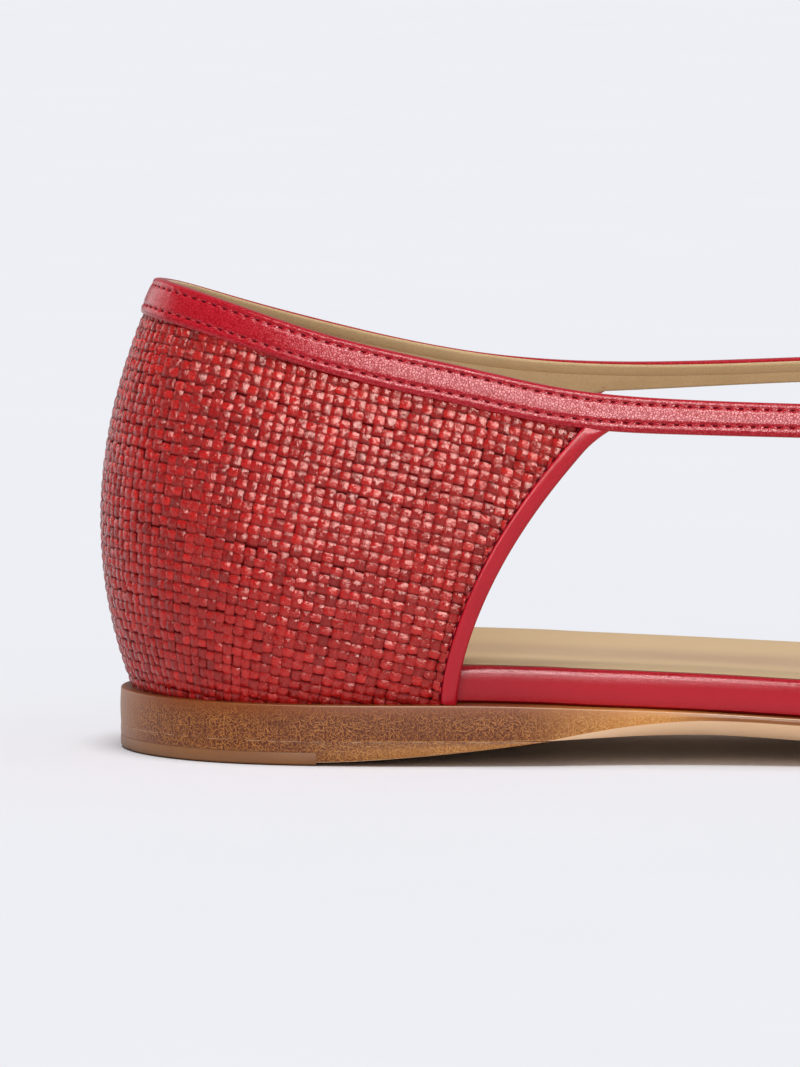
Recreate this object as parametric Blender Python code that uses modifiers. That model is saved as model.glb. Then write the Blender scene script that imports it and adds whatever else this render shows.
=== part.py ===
"""Raffia ballet flat for the right foot: woven counter and toe joined by a leather topline band.

X runs from the heel to the toe, Y from the outer side of the foot to the inner side, Z up from the floor.
Sizes are in millimetres and become metres when a mesh is made.
"""

import math
from collections import namedtuple

import bmesh
import bpy
import numpy as np
from mathutils import Matrix

MM = 0.001

# Driving sizes of the last and of the materials.
LENGTH = 246.0
BALL_WIDTH = 79.0
BACK_HEIGHT = 65.1
WALL = 1.8
GAP = 0.3
BINDING_WIDTH = 2.6
TRIM_THICKNESS = 0.6
FOOTBED_HEIGHT = 5.45
FOOTBED_ROUND = 1.2
SOCK_THICKNESS = 0.8
SOCK_INSET = 1.5
DISH_DEPTH = 1.2
ARCH_LIFT = 1.2
ARCH_PLACE = 72.0
ARCH_REACH = 55.0
TOP_PIECE_HEIGHT = 1.8
TOP_PIECE_LENGTH = 30.4
LIFT_LENGTH = 62.0
LIFT_FRONT_EDGE = 0.45
LIFT_REAR_CLEARANCE = 0.5
LIFT_CURVE = 1.5

# The side openings: where each panel's edge meets the sole, how far it leans by the band, and how it curves.
COUNTER_EDGE_FOOT = 48.6
COUNTER_EDGE_LEAN = 19.6
TOE_EDGE_FOOT = 143.0
TOE_EDGE_LEAN = -20.0
EDGE_POWER = 1.6

# One row for each upright section of the upper, round the shoe from the heel back by the outer side.
# along and top_along are shares of LENGTH, out and top_out shares of half BALL_WIDTH, rise a share of
# BACK_HEIGHT, band the width of the topline band in millimetres. The last four place the wall's two
# handles, as shares of the section's own chord.
Section = namedtuple(
    "Section", "place along out top_along top_out rise band low_out low_up high_out high_down"
)
SECTIONS = (
    Section("heel back", 0.0175, 0.000, 0.0333, 0.000, 1.000, 5.2, 0.125, 0.330, 0.156, 0.330),
    Section("outer heel corner", 0.0360, -0.335, 0.0488, -0.266, 0.991, 5.2, 0.124, 0.330, 0.146, 0.330),
    Section("outer heel round", 0.0720, -0.535, 0.0820, -0.405, 0.954, 5.2, 0.125, 0.330, 0.128, 0.330),
    Section("outer heel side", 0.1260, -0.632, 0.1290, -0.500, 0.900, 5.2, 0.125, 0.330, 0.112, 0.330),
    Section("outer counter", 0.2110, -0.650, 0.2120, -0.590, 0.830, 5.2, 0.100, 0.330, 0.095, 0.330),
    Section("outer counter front", 0.2640, -0.655, 0.2640, -0.632, 0.791, 5.1, 0.092, 0.330, 0.115, 0.330),
    Section("outer waist", 0.3250, -0.665, 0.3250, -0.666, 0.772, 4.8, 0.090, 0.330, 0.140, 0.330),
    Section("outer waist front", 0.4400, -0.760, 0.4350, -0.730, 0.761, 4.6, 0.095, 0.340, 0.130, 0.320),
    Section("outer ball", 0.5700, -0.930, 0.5450, -0.755, 0.743, 4.6, 0.105, 0.350, 0.160, 0.290),
    Section("outer fore", 0.7000, -1.000, 0.6350, -0.660, 0.713, 4.6, 0.105, 0.360, 0.230, 0.250),
    Section("outer toe side", 0.8250, -0.900, 0.6960, -0.460, 0.688, 4.6, 0.090, 0.340, 0.320, 0.190),
    Section("outer toe round", 0.9180, -0.665, 0.7300, -0.230, 0.676, 4.6, 0.070, 0.310, 0.400, 0.140),
    Section("outer toe", 0.9770, -0.290, 0.7415, -0.075, 0.671, 4.6, 0.058, 0.290, 0.430, 0.110),
    Section("toe tip", 1.0000, 0.150, 0.7430, 0.060, 0.670, 4.6, 0.055, 0.285, 0.430, 0.107),
    Section("inner toe", 0.9850, 0.500, 0.7380, 0.190, 0.672, 4.6, 0.060, 0.295, 0.410, 0.120),
    Section("inner toe round", 0.9400, 0.760, 0.7180, 0.370, 0.680, 4.6, 0.075, 0.315, 0.350, 0.160),
    Section("inner toe side", 0.8500, 0.940, 0.6780, 0.560, 0.700, 4.6, 0.090, 0.340, 0.280, 0.215),
    Section("inner ball", 0.7300, 1.000, 0.6200, 0.685, 0.731, 4.5, 0.100, 0.355, 0.210, 0.260),
    Section("inner ball back", 0.6050, 0.905, 0.5450, 0.725, 0.771, 4.1, 0.100, 0.350, 0.170, 0.300),
    Section("inner waist front", 0.4600, 0.630, 0.4450, 0.700, 0.802, 3.7, 0.100, 0.340, 0.180, 0.320),
    Section("inner waist", 0.3350, 0.520, 0.3300, 0.630, 0.793, 3.9, 0.100, 0.330, 0.190, 0.330),
    Section("inner counter", 0.2180, 0.590, 0.2150, 0.575, 0.815, 5.2, 0.105, 0.330, 0.095, 0.330),
    Section("inner heel side", 0.1260, 0.632, 0.1290, 0.500, 0.885, 5.2, 0.125, 0.330, 0.112, 0.330),
    Section("inner heel round", 0.0720, 0.535, 0.0820, 0.405, 0.936, 5.2, 0.125, 0.330, 0.128, 0.330),
    Section("inner heel corner", 0.0360, 0.335, 0.0488, 0.266, 0.978, 5.2, 0.124, 0.330, 0.146, 0.330),
)
TOE_TIP = next(i for i, row in enumerate(SECTIONS) if row.place == "toe tip")

# One row for each station along the outsole. along is a share of LENGTH, and the rest are millimetres:
# the sole's upper face, its underside on the centre line, the lower corner of its side, how far in from
# the side the underside reaches its full depth, and how far the side stands out from the feather line.
Station = namedtuple("Station", "along top under edge bevel ledge")
STATIONS = (
    Station(0.00, 8.4, 3.4, 3.4, 0.3, 1.4),
    Station(0.20, 8.4, 3.4, 3.4, 0.3, 1.4),
    Station(0.25, 8.15, 3.45, 3.55, 0.6, 0.9),
    Station(0.27, 7.92, 3.5, 4.4, 2.5, 0.3),
    Station(0.305, 7.6, 3.5, 5.7, 6.5, -0.4),
    Station(0.34, 7.25, 3.4, 6.3, 8.8, -0.6),
    Station(0.40, 6.5, 2.6, 5.65, 9.0, -0.6),
    Station(0.47, 5.5, 1.4, 4.0, 7.5, -0.4),
    Station(0.55, 4.45, 0.2, 1.7, 4.0, 0.9),
    Station(0.60, 4.0, 0.0, 0.6, 1.5, 1.4),
    Station(0.75, 4.0, 0.0, 0.6, 1.5, 1.4),
    Station(0.87, 5.1, 1.1, 1.7, 1.5, 1.4),
    Station(1.01, 9.0, 5.0, 5.6, 1.5, 1.4),
)

# Fineness of the meshes.
CHORD_STEPS = 48
SIDE_RUNGS = 42
ACROSS = np.array([0.0, 0.2, 0.5, 0.8, 1.0])
PANEL_ROWS = 10
COUNTER_COLUMNS = 40
TOE_COLUMNS = 46
STRAP_COLUMNS = 12
EDGE_SEARCH_STEPS = 240


def closed_spline(knots, values, where):
    """A cubic curve through values at knots, smooth all the way round a loop of length 1."""
    count = len(knots)
    after = np.arange(1, count + 1) % count
    step = np.diff(np.append(knots, 1.0))
    slope = (values[after] - values) / step[:, None]
    system = np.zeros((count, count))
    for i in range(count):
        system[i, i - 1] += step[i - 1]
        system[i, i] += 2 * (step[i - 1] + step[i])
        system[i, after[i]] += step[i]
    bend = np.linalg.solve(system, 6 * (slope - np.roll(slope, 1, axis=0)))
    where = np.mod(where, 1.0)
    i = np.clip(np.searchsorted(knots, where, side="right") - 1, 0, count - 1)
    h = step[i][:, None]
    b = ((where - knots[i])[:, None]) / h
    a = 1 - b
    straight = a * values[i] + b * values[after[i]]
    return straight + ((a**3 - a) * bend[i] + (b**3 - b) * bend[after[i]]) * h**2 / 6


def even_curve(xs, ys, where):
    """A cubic through a table's rows that never overshoots them, so that equal rows give a flat."""
    steps = np.diff(xs)
    slopes = np.diff(ys) / steps
    tangents = np.zeros(len(xs))
    same_way = slopes[:-1] * slopes[1:] > 0
    mean = 2 * slopes[:-1] * slopes[1:] / np.where(same_way, slopes[:-1] + slopes[1:], 1.0)
    tangents[1:-1] = np.where(same_way, mean, 0.0)
    tangents[0], tangents[-1] = slopes[0], slopes[-1]
    where = np.clip(where, xs[0], xs[-1])
    i = np.clip(np.searchsorted(xs, where, side="right") - 1, 0, len(steps) - 1)
    t = (where - xs[i]) / steps[i]
    start = (1 + 2 * t) * (1 - t) ** 2 * ys[i] + t * (1 - t) ** 2 * steps[i] * tangents[i]
    end = t**2 * (3 - 2 * t) * ys[i + 1] + t**2 * (t - 1) * steps[i] * tangents[i + 1]
    return start + end


def column(rows, name):
    """One named column of a table as an array."""
    return np.array([getattr(row, name) for row in rows], float)


SECTION_BASE = np.column_stack(
    [column(SECTIONS, "along") * LENGTH, column(SECTIONS, "out") * BALL_WIDTH / 2]
)
CHORDS = np.linalg.norm(np.roll(SECTION_BASE, -1, axis=0) - SECTION_BASE, axis=1)
KNOTS = np.append(0.0, np.cumsum(CHORDS)[:-1]) / CHORDS.sum()
TOE_U = KNOTS[TOE_TIP]
NUDGE = 1e-4


def sole_profile(name, x):
    """A column of the outsole's table at the stations x."""
    return even_curve(column(STATIONS, "along") * LENGTH, column(STATIONS, name), x)


def feather(u, offset=0.0):
    """The line where the upper meets the sole, seen from above, moved outwards by offset."""
    here = closed_spline(KNOTS, SECTION_BASE, u)
    ahead = closed_spline(KNOTS, SECTION_BASE, u + NUDGE) - closed_spline(KNOTS, SECTION_BASE, u - NUDGE)
    ahead /= np.linalg.norm(ahead, axis=1)[:, None]
    outward = np.column_stack([ahead[:, 1], -ahead[:, 0]])
    return here + outward * np.broadcast_to(offset, u.shape)[:, None], outward


def wall_handles(u):
    """The four points of each section's curve, from the topline down to the feather line."""
    base_plan, outward = feather(u)
    top_table = np.column_stack(
        [
            column(SECTIONS, "top_along") * LENGTH,
            column(SECTIONS, "top_out") * BALL_WIDTH / 2,
            column(SECTIONS, "rise") * BACK_HEIGHT,
        ]
    )
    top = closed_spline(KNOTS, top_table, u)
    shares = np.column_stack([column(SECTIONS, name) for name in Section._fields[-4:]])
    low_out, low_up, high_out, high_down = closed_spline(KNOTS, shares, u).T[:, :, None]
    base = np.column_stack([base_plan, sole_profile("top", base_plan[:, 0]) + GAP])
    chord = np.linalg.norm(top - base, axis=1)[:, None]
    outward = np.column_stack([outward, np.zeros(len(u))])
    up = np.array([0.0, 0.0, 1.0])
    low = base + (outward * low_out + up * low_up) * chord
    high = top + (outward * high_out - up * high_down) * chord
    return top, high, low, base


def bezier(points, t):
    """The cubic through four control points, at t from the first to the last."""
    first, second, third, fourth = points
    return (1 - t) ** 3 * first + 3 * (1 - t) ** 2 * t * second + 3 * (1 - t) * t**2 * third + t**3 * fourth


def wall_lengths(points):
    """The distance along each section from the topline, at even steps of the curve."""
    steps = np.linspace(0, 1, CHORD_STEPS + 1)
    line = np.stack([bezier(points, t) for t in steps], axis=1)
    pieces = np.linalg.norm(np.diff(line, axis=1), axis=2)
    return np.concatenate([np.zeros((len(line), 1)), np.cumsum(pieces, axis=1)], axis=1)


def wall_height(u):
    """The length of the wall from the topline to the feather line."""
    return wall_lengths(wall_handles(u))[:, -1]


def wall_point(u, drop):
    """The upper's outer surface, at a distance drop down the wall from the topline."""
    points = wall_handles(u)
    reach = wall_lengths(points)
    i = np.clip((reach <= drop[:, None]).sum(axis=1) - 1, 0, CHORD_STEPS - 1)
    row = np.arange(len(u))
    t = (i + (drop - reach[row, i]) / (reach[row, i + 1] - reach[row, i])) / CHORD_STEPS
    return bezier(points, t[:, None])


def wall_normal(u, drop):
    """The outward direction of the upper's surface."""
    along = wall_point(u + NUDGE, drop) - wall_point(u - NUDGE, drop)
    upward = wall_point(u, drop - 0.05) - wall_point(u, drop + 0.05)
    normal = np.cross(along, upward)
    return normal / np.linalg.norm(normal, axis=1)[:, None]


def band_width(u):
    """The width of the topline band."""
    return closed_spline(KNOTS, column(SECTIONS, "band")[:, None], u)[:, 0]


def share_to_drop(u, share):
    """The drop of a point that lies at a share of the panel, from 0 at the sole to 1 at the band."""
    return wall_height(u) * (1 - share) + band_width(u) * share


def edge_u(foot, lean, share, inner):
    """Where a panel's edge runs on one side of the shoe, for shares from the sole to the band."""
    search = np.linspace(TOE_U, 1.0, EDGE_SEARCH_STEPS) if inner else np.linspace(TOE_U, 0.0, EDGE_SEARCH_STEPS)
    found = []
    for s in share:
        x = wall_point(search, share_to_drop(search, s))[:, 0]
        target = foot + lean * s**EDGE_POWER
        found.append(np.interp(-target, -x, search))
    return np.array(found)


def make_material(name, colour, roughness):
    """A plain finish for one sub-part."""
    material = bpy.data.materials.new(name)
    material.use_nodes = True
    shader = material.node_tree.nodes["Principled BSDF"]
    shader.inputs["Base Color"].default_value = (*colour, 1.0)
    shader.inputs["Roughness"].default_value = roughness
    return material


def add_mesh(name, points, faces, material):
    """A named object from grid points in millimetres, welded where its rows close up."""
    mesh = bpy.data.meshes.new(name)
    mesh.from_pydata((np.asarray(points) * MM).tolist(), [], faces)
    shape = bmesh.new()
    shape.from_mesh(mesh)
    bmesh.ops.remove_doubles(shape, verts=shape.verts, dist=0.00001)
    loose = [vert for vert in shape.verts if not vert.link_faces]
    bmesh.ops.delete(shape, geom=loose, context="VERTS")
    shape.to_mesh(mesh)
    shape.free()
    mesh.shade_smooth()
    mesh.set_sharp_from_angle(angle=math.radians(40))
    mesh.materials.append(material)
    thing = bpy.data.objects.new(name, mesh)
    PARTS.objects.link(thing)
    thing.parent = ROOT
    return thing


def grid_faces(index, flip=False):
    """Quads over a 2D array of vertex numbers."""
    faces = []
    for i in range(index.shape[0] - 1):
        for j in range(index.shape[1] - 1):
            quad = [index[i, j], index[i, j + 1], index[i + 1, j + 1], index[i + 1, j]]
            faces.append([int(k) for k in (quad[::-1] if flip else quad)])
    return faces


def rungs(offset, first=0.0, last=1.0):
    """Lines across the shoe from its outer edge to its inner edge, between two shares of its length."""
    step = np.linspace(0, 1, SIDE_RUNGS)
    step = 0.55 * step + 0.45 * (1 - np.cos(math.pi * step)) / 2
    step = first + (last - first) * step
    outer = feather(TOE_U * step, offset)[0]
    inner = feather(1 - (1 - TOE_U) * step, offset)[0]
    across = ACROSS[None, :, None]
    return outer[:, None, :] * (1 - across) + inner[:, None, :] * across


def lofted_block(name, layers, material):
    """A closed block from layers of rungs, top layer first. Only the sides of the inner layers show."""
    points = np.concatenate([layer.reshape(-1, 3) for layer in layers])
    shape = layers[0].shape[:2]
    index = np.arange(len(points)).reshape(len(layers), *shape)
    faces = grid_faces(index[0], flip=True) + grid_faces(index[-1])
    faces += grid_faces(index[:, :, 0], flip=True) + grid_faces(index[:, :, -1])
    faces += grid_faces(index[:, 0, :]) + grid_faces(index[:, -1, :], flip=True)
    return add_mesh(name, points, faces, material)


def with_height(plan, height):
    """Rungs seen from above, given a height for each point."""
    return np.concatenate([plan, np.broadcast_to(height, plan.shape[:2])[:, :, None]], axis=2)


def side_offset(name, first=0.0, last=1.0):
    """A column of the outsole's table at each rung of the feather line."""
    return sole_profile(name, rungs(0.0, first, last)[:, :, 0].mean(axis=1))


def make_outsole(material):
    """The leather sole: full at the heel, bevelled thin at the waist, flat under the ball, sprung at the toe."""
    round_top = 0.4
    ledge = side_offset("ledge")
    plans = [rungs(ledge - round_top), rungs(ledge), rungs(ledge), rungs(ledge - side_offset("bevel"))]
    heights = [
        sole_profile("top", plans[0][:, :, 0]),
        sole_profile("top", plans[1][:, :, 0]) - round_top,
        sole_profile("edge", plans[2][:, :, 0]),
        sole_profile("under", plans[3][:, :, 0]),
    ]
    return lofted_block("outsole", [with_height(p, z) for p, z in zip(plans, heights)], material)


def heel_share(x):
    """The share of the shoe's rungs that ends at the station x."""
    step = np.linspace(0, 1, EDGE_SEARCH_STEPS)
    return np.interp(x, feather(TOE_U * step)[0][:, 0], step)


def make_heel_lift(material):
    """The wedge under the heel. It steps over the top piece, then thins out towards the waist."""
    ends = heel_share(TOP_PIECE_LENGTH + GAP), heel_share(LIFT_LENGTH)
    spans = ((0.0, ends[0]), ends)
    plan = np.concatenate([rungs(side_offset("ledge", *span), *span) for span in spans])
    x = plan[:, :, 0]
    top = sole_profile("under", x) - GAP
    taper = (x - x[SIDE_RUNGS].mean()) / (x[-1].mean() - x[SIDE_RUNGS].mean())
    rise = top - LIFT_FRONT_EDGE - LIFT_REAR_CLEARANCE
    rising = LIFT_REAR_CLEARANCE + rise * np.clip(taper, 0, 1) ** LIFT_CURVE
    stepped = np.arange(len(plan))[:, None] < SIDE_RUNGS
    bottom = np.where(stepped, TOP_PIECE_HEIGHT + GAP, rising)
    return lofted_block("heel_lift", [with_height(plan, top), with_height(plan, bottom)], material)


def make_top_piece(material):
    """The wearing piece let into the heel's underside. Its lower face is the flat that the heel stands on."""
    span = 0.0, heel_share(TOP_PIECE_LENGTH)
    ledge = side_offset("ledge", *span)
    plan = rungs(ledge, *span)
    lower = rungs(ledge - 0.4, *span)
    layers = [with_height(plan, TOP_PIECE_HEIGHT), with_height(plan, 0.4), with_height(lower, 0.0)]
    return lofted_block("heel_top_piece", layers, material)


def footbed_top(plan):
    """The height of the footbed's upper face, dished between its edges and lifted under the arch."""
    x, y = plan[:, :, 0], plan[:, :, 1]
    edge = rungs(0.0)
    outer = np.interp(x, edge[:, 0, 0], edge[:, 0, 1])
    inner = np.interp(x, edge[:, -1, 0], edge[:, -1, 1])
    width = np.maximum(inner - outer, 1.0)
    across = np.clip((2 * y - outer - inner) / width, -1, 1)
    arch = ARCH_LIFT * np.exp(-(((x - ARCH_PLACE) / ARCH_REACH) ** 2)) * (0.5 + 0.5 * across) ** 2
    return sole_profile("top", x) + FOOTBED_HEIGHT - DISH_DEPTH * (1 - across**2) + arch


def make_footbed(material):
    """The insole board in its leather wrap, with a rounded upper edge that shows in the side openings."""
    inset = -(WALL + GAP + 0.05)
    plans = [rungs(inset - FOOTBED_ROUND), rungs(inset - 0.3 * FOOTBED_ROUND), rungs(inset), rungs(inset)]
    heights = [
        footbed_top(plans[0]),
        footbed_top(plans[1]) - 0.3 * FOOTBED_ROUND,
        footbed_top(plans[2]) - FOOTBED_ROUND,
        sole_profile("top", plans[3][:, :, 0]) + GAP,
    ]
    return lofted_block("footbed", [with_height(p, z) for p, z in zip(plans, heights)], material)


def make_sock(material):
    """The thin leather sock that lies on the footbed."""
    plan = rungs(-(WALL + GAP + SOCK_INSET + 0.05))
    under = footbed_top(plan) + GAP
    layers = [with_height(plan, under + SOCK_THICKNESS), with_height(plan, under)]
    return lofted_block("sock_lining", layers, material)


def panel_shares():
    """The rows of a panel, from the sole to the band."""
    return np.linspace(0, 1, PANEL_ROWS + 1)


def panel_spread(columns, start, end):
    """Places of the columns in each row of a panel, between its two edges."""
    spread = np.linspace(0, 1, columns + 1)
    return start[:, None] * (1 - spread) + end[:, None] * spread


def upper_columns():
    """Rows of u for the counter and the toe panel, and one closed row for the band above them."""
    share = panel_shares()
    counter = panel_spread(
        COUNTER_COLUMNS,
        edge_u(COUNTER_EDGE_FOOT, COUNTER_EDGE_LEAN, share, inner=True) - 1,
        edge_u(COUNTER_EDGE_FOOT, COUNTER_EDGE_LEAN, share, inner=False),
    )
    toe = panel_spread(
        TOE_COLUMNS,
        edge_u(TOE_EDGE_FOOT, TOE_EDGE_LEAN, share, inner=False),
        edge_u(TOE_EDGE_FOOT, TOE_EDGE_LEAN, share, inner=True),
    )
    outer_strap = np.linspace(counter[-1, -1], toe[-1, 0], STRAP_COLUMNS + 1)[1:-1]
    inner_strap = np.linspace(toe[-1, -1], counter[-1, 0] + 1, STRAP_COLUMNS + 1)[1:-1]
    band = np.concatenate([counter[-1], outer_strap, toe[-1], inner_strap])
    return counter, toe, band


def make_upper(columns, material):
    """The hollow upper: counter and toe panels and the straps between them, one wall open above and below."""
    counter, toe, band = columns
    share = panel_shares()
    width = band_width(band)
    band_drops = (width, 0.5 * width, np.full(len(band), TRIM_THICKNESS + GAP))
    points = [wall_point(band, drop) for drop in band_drops]
    index = np.arange(3 * len(band)).reshape(3, -1)
    faces = grid_faces(np.column_stack([index, index[:, 0]]))
    made = 3 * len(band)
    starts = {COUNTER_COLUMNS: 0, TOE_COLUMNS: COUNTER_COLUMNS + STRAP_COLUMNS}
    for panel in (counter, toe):
        across = panel.shape[1]
        for row, s in zip(panel[:-1], share[:-1]):
            points.append(wall_point(row, share_to_drop(row, s)))
        rows = made + np.arange(PANEL_ROWS * across).reshape(PANEL_ROWS, across)
        joined = index[0, starts[across - 1] : starts[across - 1] + across]
        faces += grid_faces(np.vstack([rows, joined]))
        made += rows.size
    upper = add_mesh("upper", np.concatenate(points), faces, material)
    wall = upper.modifiers.new("wall", "SOLIDIFY")
    wall.thickness = WALL * MM
    wall.offset = -1.0
    wall.use_even_offset = True
    return upper


def trim_profile(width):
    """Section of a folded trim: (how far in from the panel's edge, how far out from its surface)."""
    outer = GAP + TRIM_THICKNESS
    fold = TRIM_THICKNESS + GAP
    corner = 0.45
    return (
        (width, outer),
        (corner, outer),
        (0.0, outer - corner),
        (0.0, -WALL),
        (fold - GAP, -WALL),
        (fold - GAP, GAP),
        (width, GAP),
    )


def swept_trim(name, rings, closed, material):
    """A trim from its section's points at each step along an edge."""
    count, around = rings.shape[:2]
    index = np.arange(count * around).reshape(count, around)
    index = np.column_stack([index, index[:, 0]])
    if closed:
        faces = grid_faces(np.vstack([index, index[0]]), flip=True)
    else:
        ends = [index[0, :-1].tolist(), index[-1, -2::-1].tolist()]
        faces = grid_faces(index, flip=True) + ends
    return add_mesh(name, rings.reshape(-1, 3), faces, material)


def make_band(band, material):
    """The leather band folded over the topline. It is also the strap across each side opening."""
    rings = []
    width = band_width(band)
    for inward, out in trim_profile(1.0):
        drop = width if inward == 1.0 else np.full(len(band), inward)
        surface = wall_point(band, np.maximum(drop, TRIM_THICKNESS))
        normal = wall_normal(band, np.maximum(drop, 1.0))
        rise = wall_point(band, drop) - surface
        rings.append(surface + rise + normal * out)
    return swept_trim("topline_band", np.stack(rings, axis=1), True, material)


def make_binding(name, edge, inward_sign, material):
    """The leather binding folded over a panel's edge, from just under the band to the sole."""
    share = panel_shares()
    u = np.append(edge[:-1], edge[-1])
    drop = share_to_drop(u, share)
    drop[-1] += GAP
    reach = np.linalg.norm(wall_point(u + NUDGE, drop) - wall_point(u - NUDGE, drop), axis=1) / (2 * NUDGE)
    ahead = wall_point(np.append(u[1:], u[-1]), np.append(drop[1:], drop[-1]))
    behind = wall_point(np.append(u[0], u[:-1]), np.append(drop[0], drop[:-1]))
    run = ahead - behind
    sideways = np.cross(wall_normal(u, drop), run)
    sideways /= np.linalg.norm(sideways, axis=1)[:, None]
    slant = np.abs((sideways * (wall_point(u + NUDGE, drop) - wall_point(u - NUDGE, drop))).sum(axis=1))
    slant /= 2 * NUDGE * reach
    rings = []
    for inward, out in trim_profile(BINDING_WIDTH):
        shift = inward_sign * (inward - TRIM_THICKNESS - GAP) / (reach * slant)
        place = wall_point(u + shift, np.minimum(drop, wall_height(u + shift)))
        rings.append(place + wall_normal(u + shift, drop) * out)
    if inward_sign < 0:
        rings.reverse()
    return swept_trim(name, np.stack(rings, axis=1), False, material)


def stand_on_origin():
    """Moves every piece so that the middle of the shoe's box stands on the origin."""
    pieces = [thing.data for thing in PARTS.objects if thing.type == "MESH"]
    spots = np.array([vert.co for mesh in pieces for vert in mesh.vertices])
    middle = (spots.min(axis=0) + spots.max(axis=0)) / 2
    shift = Matrix.Translation((-middle[0], -middle[1], -spots[:, 2].min()))
    for mesh in pieces:
        mesh.transform(shift)


def main():
    """Builds every sub-part of the shoe."""
    red_leather = make_material("red leather", (0.40, 0.016, 0.035), 0.42)
    raffia = make_material("red raffia", (0.42, 0.020, 0.024), 0.38)
    tan_leather = make_material("tan leather", (0.47, 0.33, 0.17), 0.60)
    sole_leather = make_material("sole leather", (0.24, 0.105, 0.033), 0.50)
    top_rubber = make_material("heel rubber", (0.20, 0.095, 0.035), 0.55)
    columns = upper_columns()
    counter, toe, band = columns
    make_outsole(sole_leather)
    make_heel_lift(sole_leather)
    make_top_piece(top_rubber)
    make_footbed(red_leather)
    make_sock(tan_leather)
    make_upper(columns, raffia)
    make_band(band, red_leather)
    make_binding("counter_binding_outer", counter[:, -1], -1, red_leather)
    make_binding("counter_binding_inner", counter[:, 0], 1, red_leather)
    make_binding("toe_binding_outer", toe[:, 0], 1, red_leather)
    make_binding("toe_binding_inner", toe[:, -1], -1, red_leather)
    stand_on_origin()


for old in list(bpy.data.objects):
    bpy.data.objects.remove(old)
PARTS = bpy.data.collections.new("raffia ballet flat")
bpy.context.scene.collection.children.link(PARTS)
ROOT = bpy.data.objects.new("shoe", None)
PARTS.objects.link(ROOT)
main()
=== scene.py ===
"""Dressed model of a raffia ballet flat for the right foot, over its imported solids.

Sizes are millimetres on the last: X from the heel to the toe, Y from the outer side to the inner side, Z up
from the floor. A mesh is put into metres and into the part's own frame when it is made.
"""

import math
from functools import partial

import bmesh
import bpy
import numpy as np
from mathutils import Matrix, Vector


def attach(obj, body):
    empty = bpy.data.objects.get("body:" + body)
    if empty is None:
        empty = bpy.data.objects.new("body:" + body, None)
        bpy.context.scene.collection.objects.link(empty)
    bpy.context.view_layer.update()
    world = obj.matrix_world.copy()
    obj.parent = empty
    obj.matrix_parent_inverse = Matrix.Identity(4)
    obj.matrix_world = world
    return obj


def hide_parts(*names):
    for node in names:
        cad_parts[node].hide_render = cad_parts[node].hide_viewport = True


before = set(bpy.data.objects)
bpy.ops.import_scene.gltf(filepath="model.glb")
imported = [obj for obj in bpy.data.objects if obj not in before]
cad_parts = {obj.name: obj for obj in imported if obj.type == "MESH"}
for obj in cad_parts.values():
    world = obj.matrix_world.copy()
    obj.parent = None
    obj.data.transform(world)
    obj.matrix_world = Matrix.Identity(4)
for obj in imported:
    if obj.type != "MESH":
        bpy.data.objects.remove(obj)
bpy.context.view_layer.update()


# Outsole. One piece of vegetable-tanned leather cut a little larger than the last, cemented under the
# lasted upper. Its edge is trimmed, stained, waxed and burnished; its underside is left natural.
LAST_LENGTH = 246.0
HALF_BALL = 39.5
BACK_HEIGHT = 65.1
LASTING_GAP = 0.3
LAST_TO_ROW = np.array([-123.7537, -0.1427, 0.0])

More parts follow.
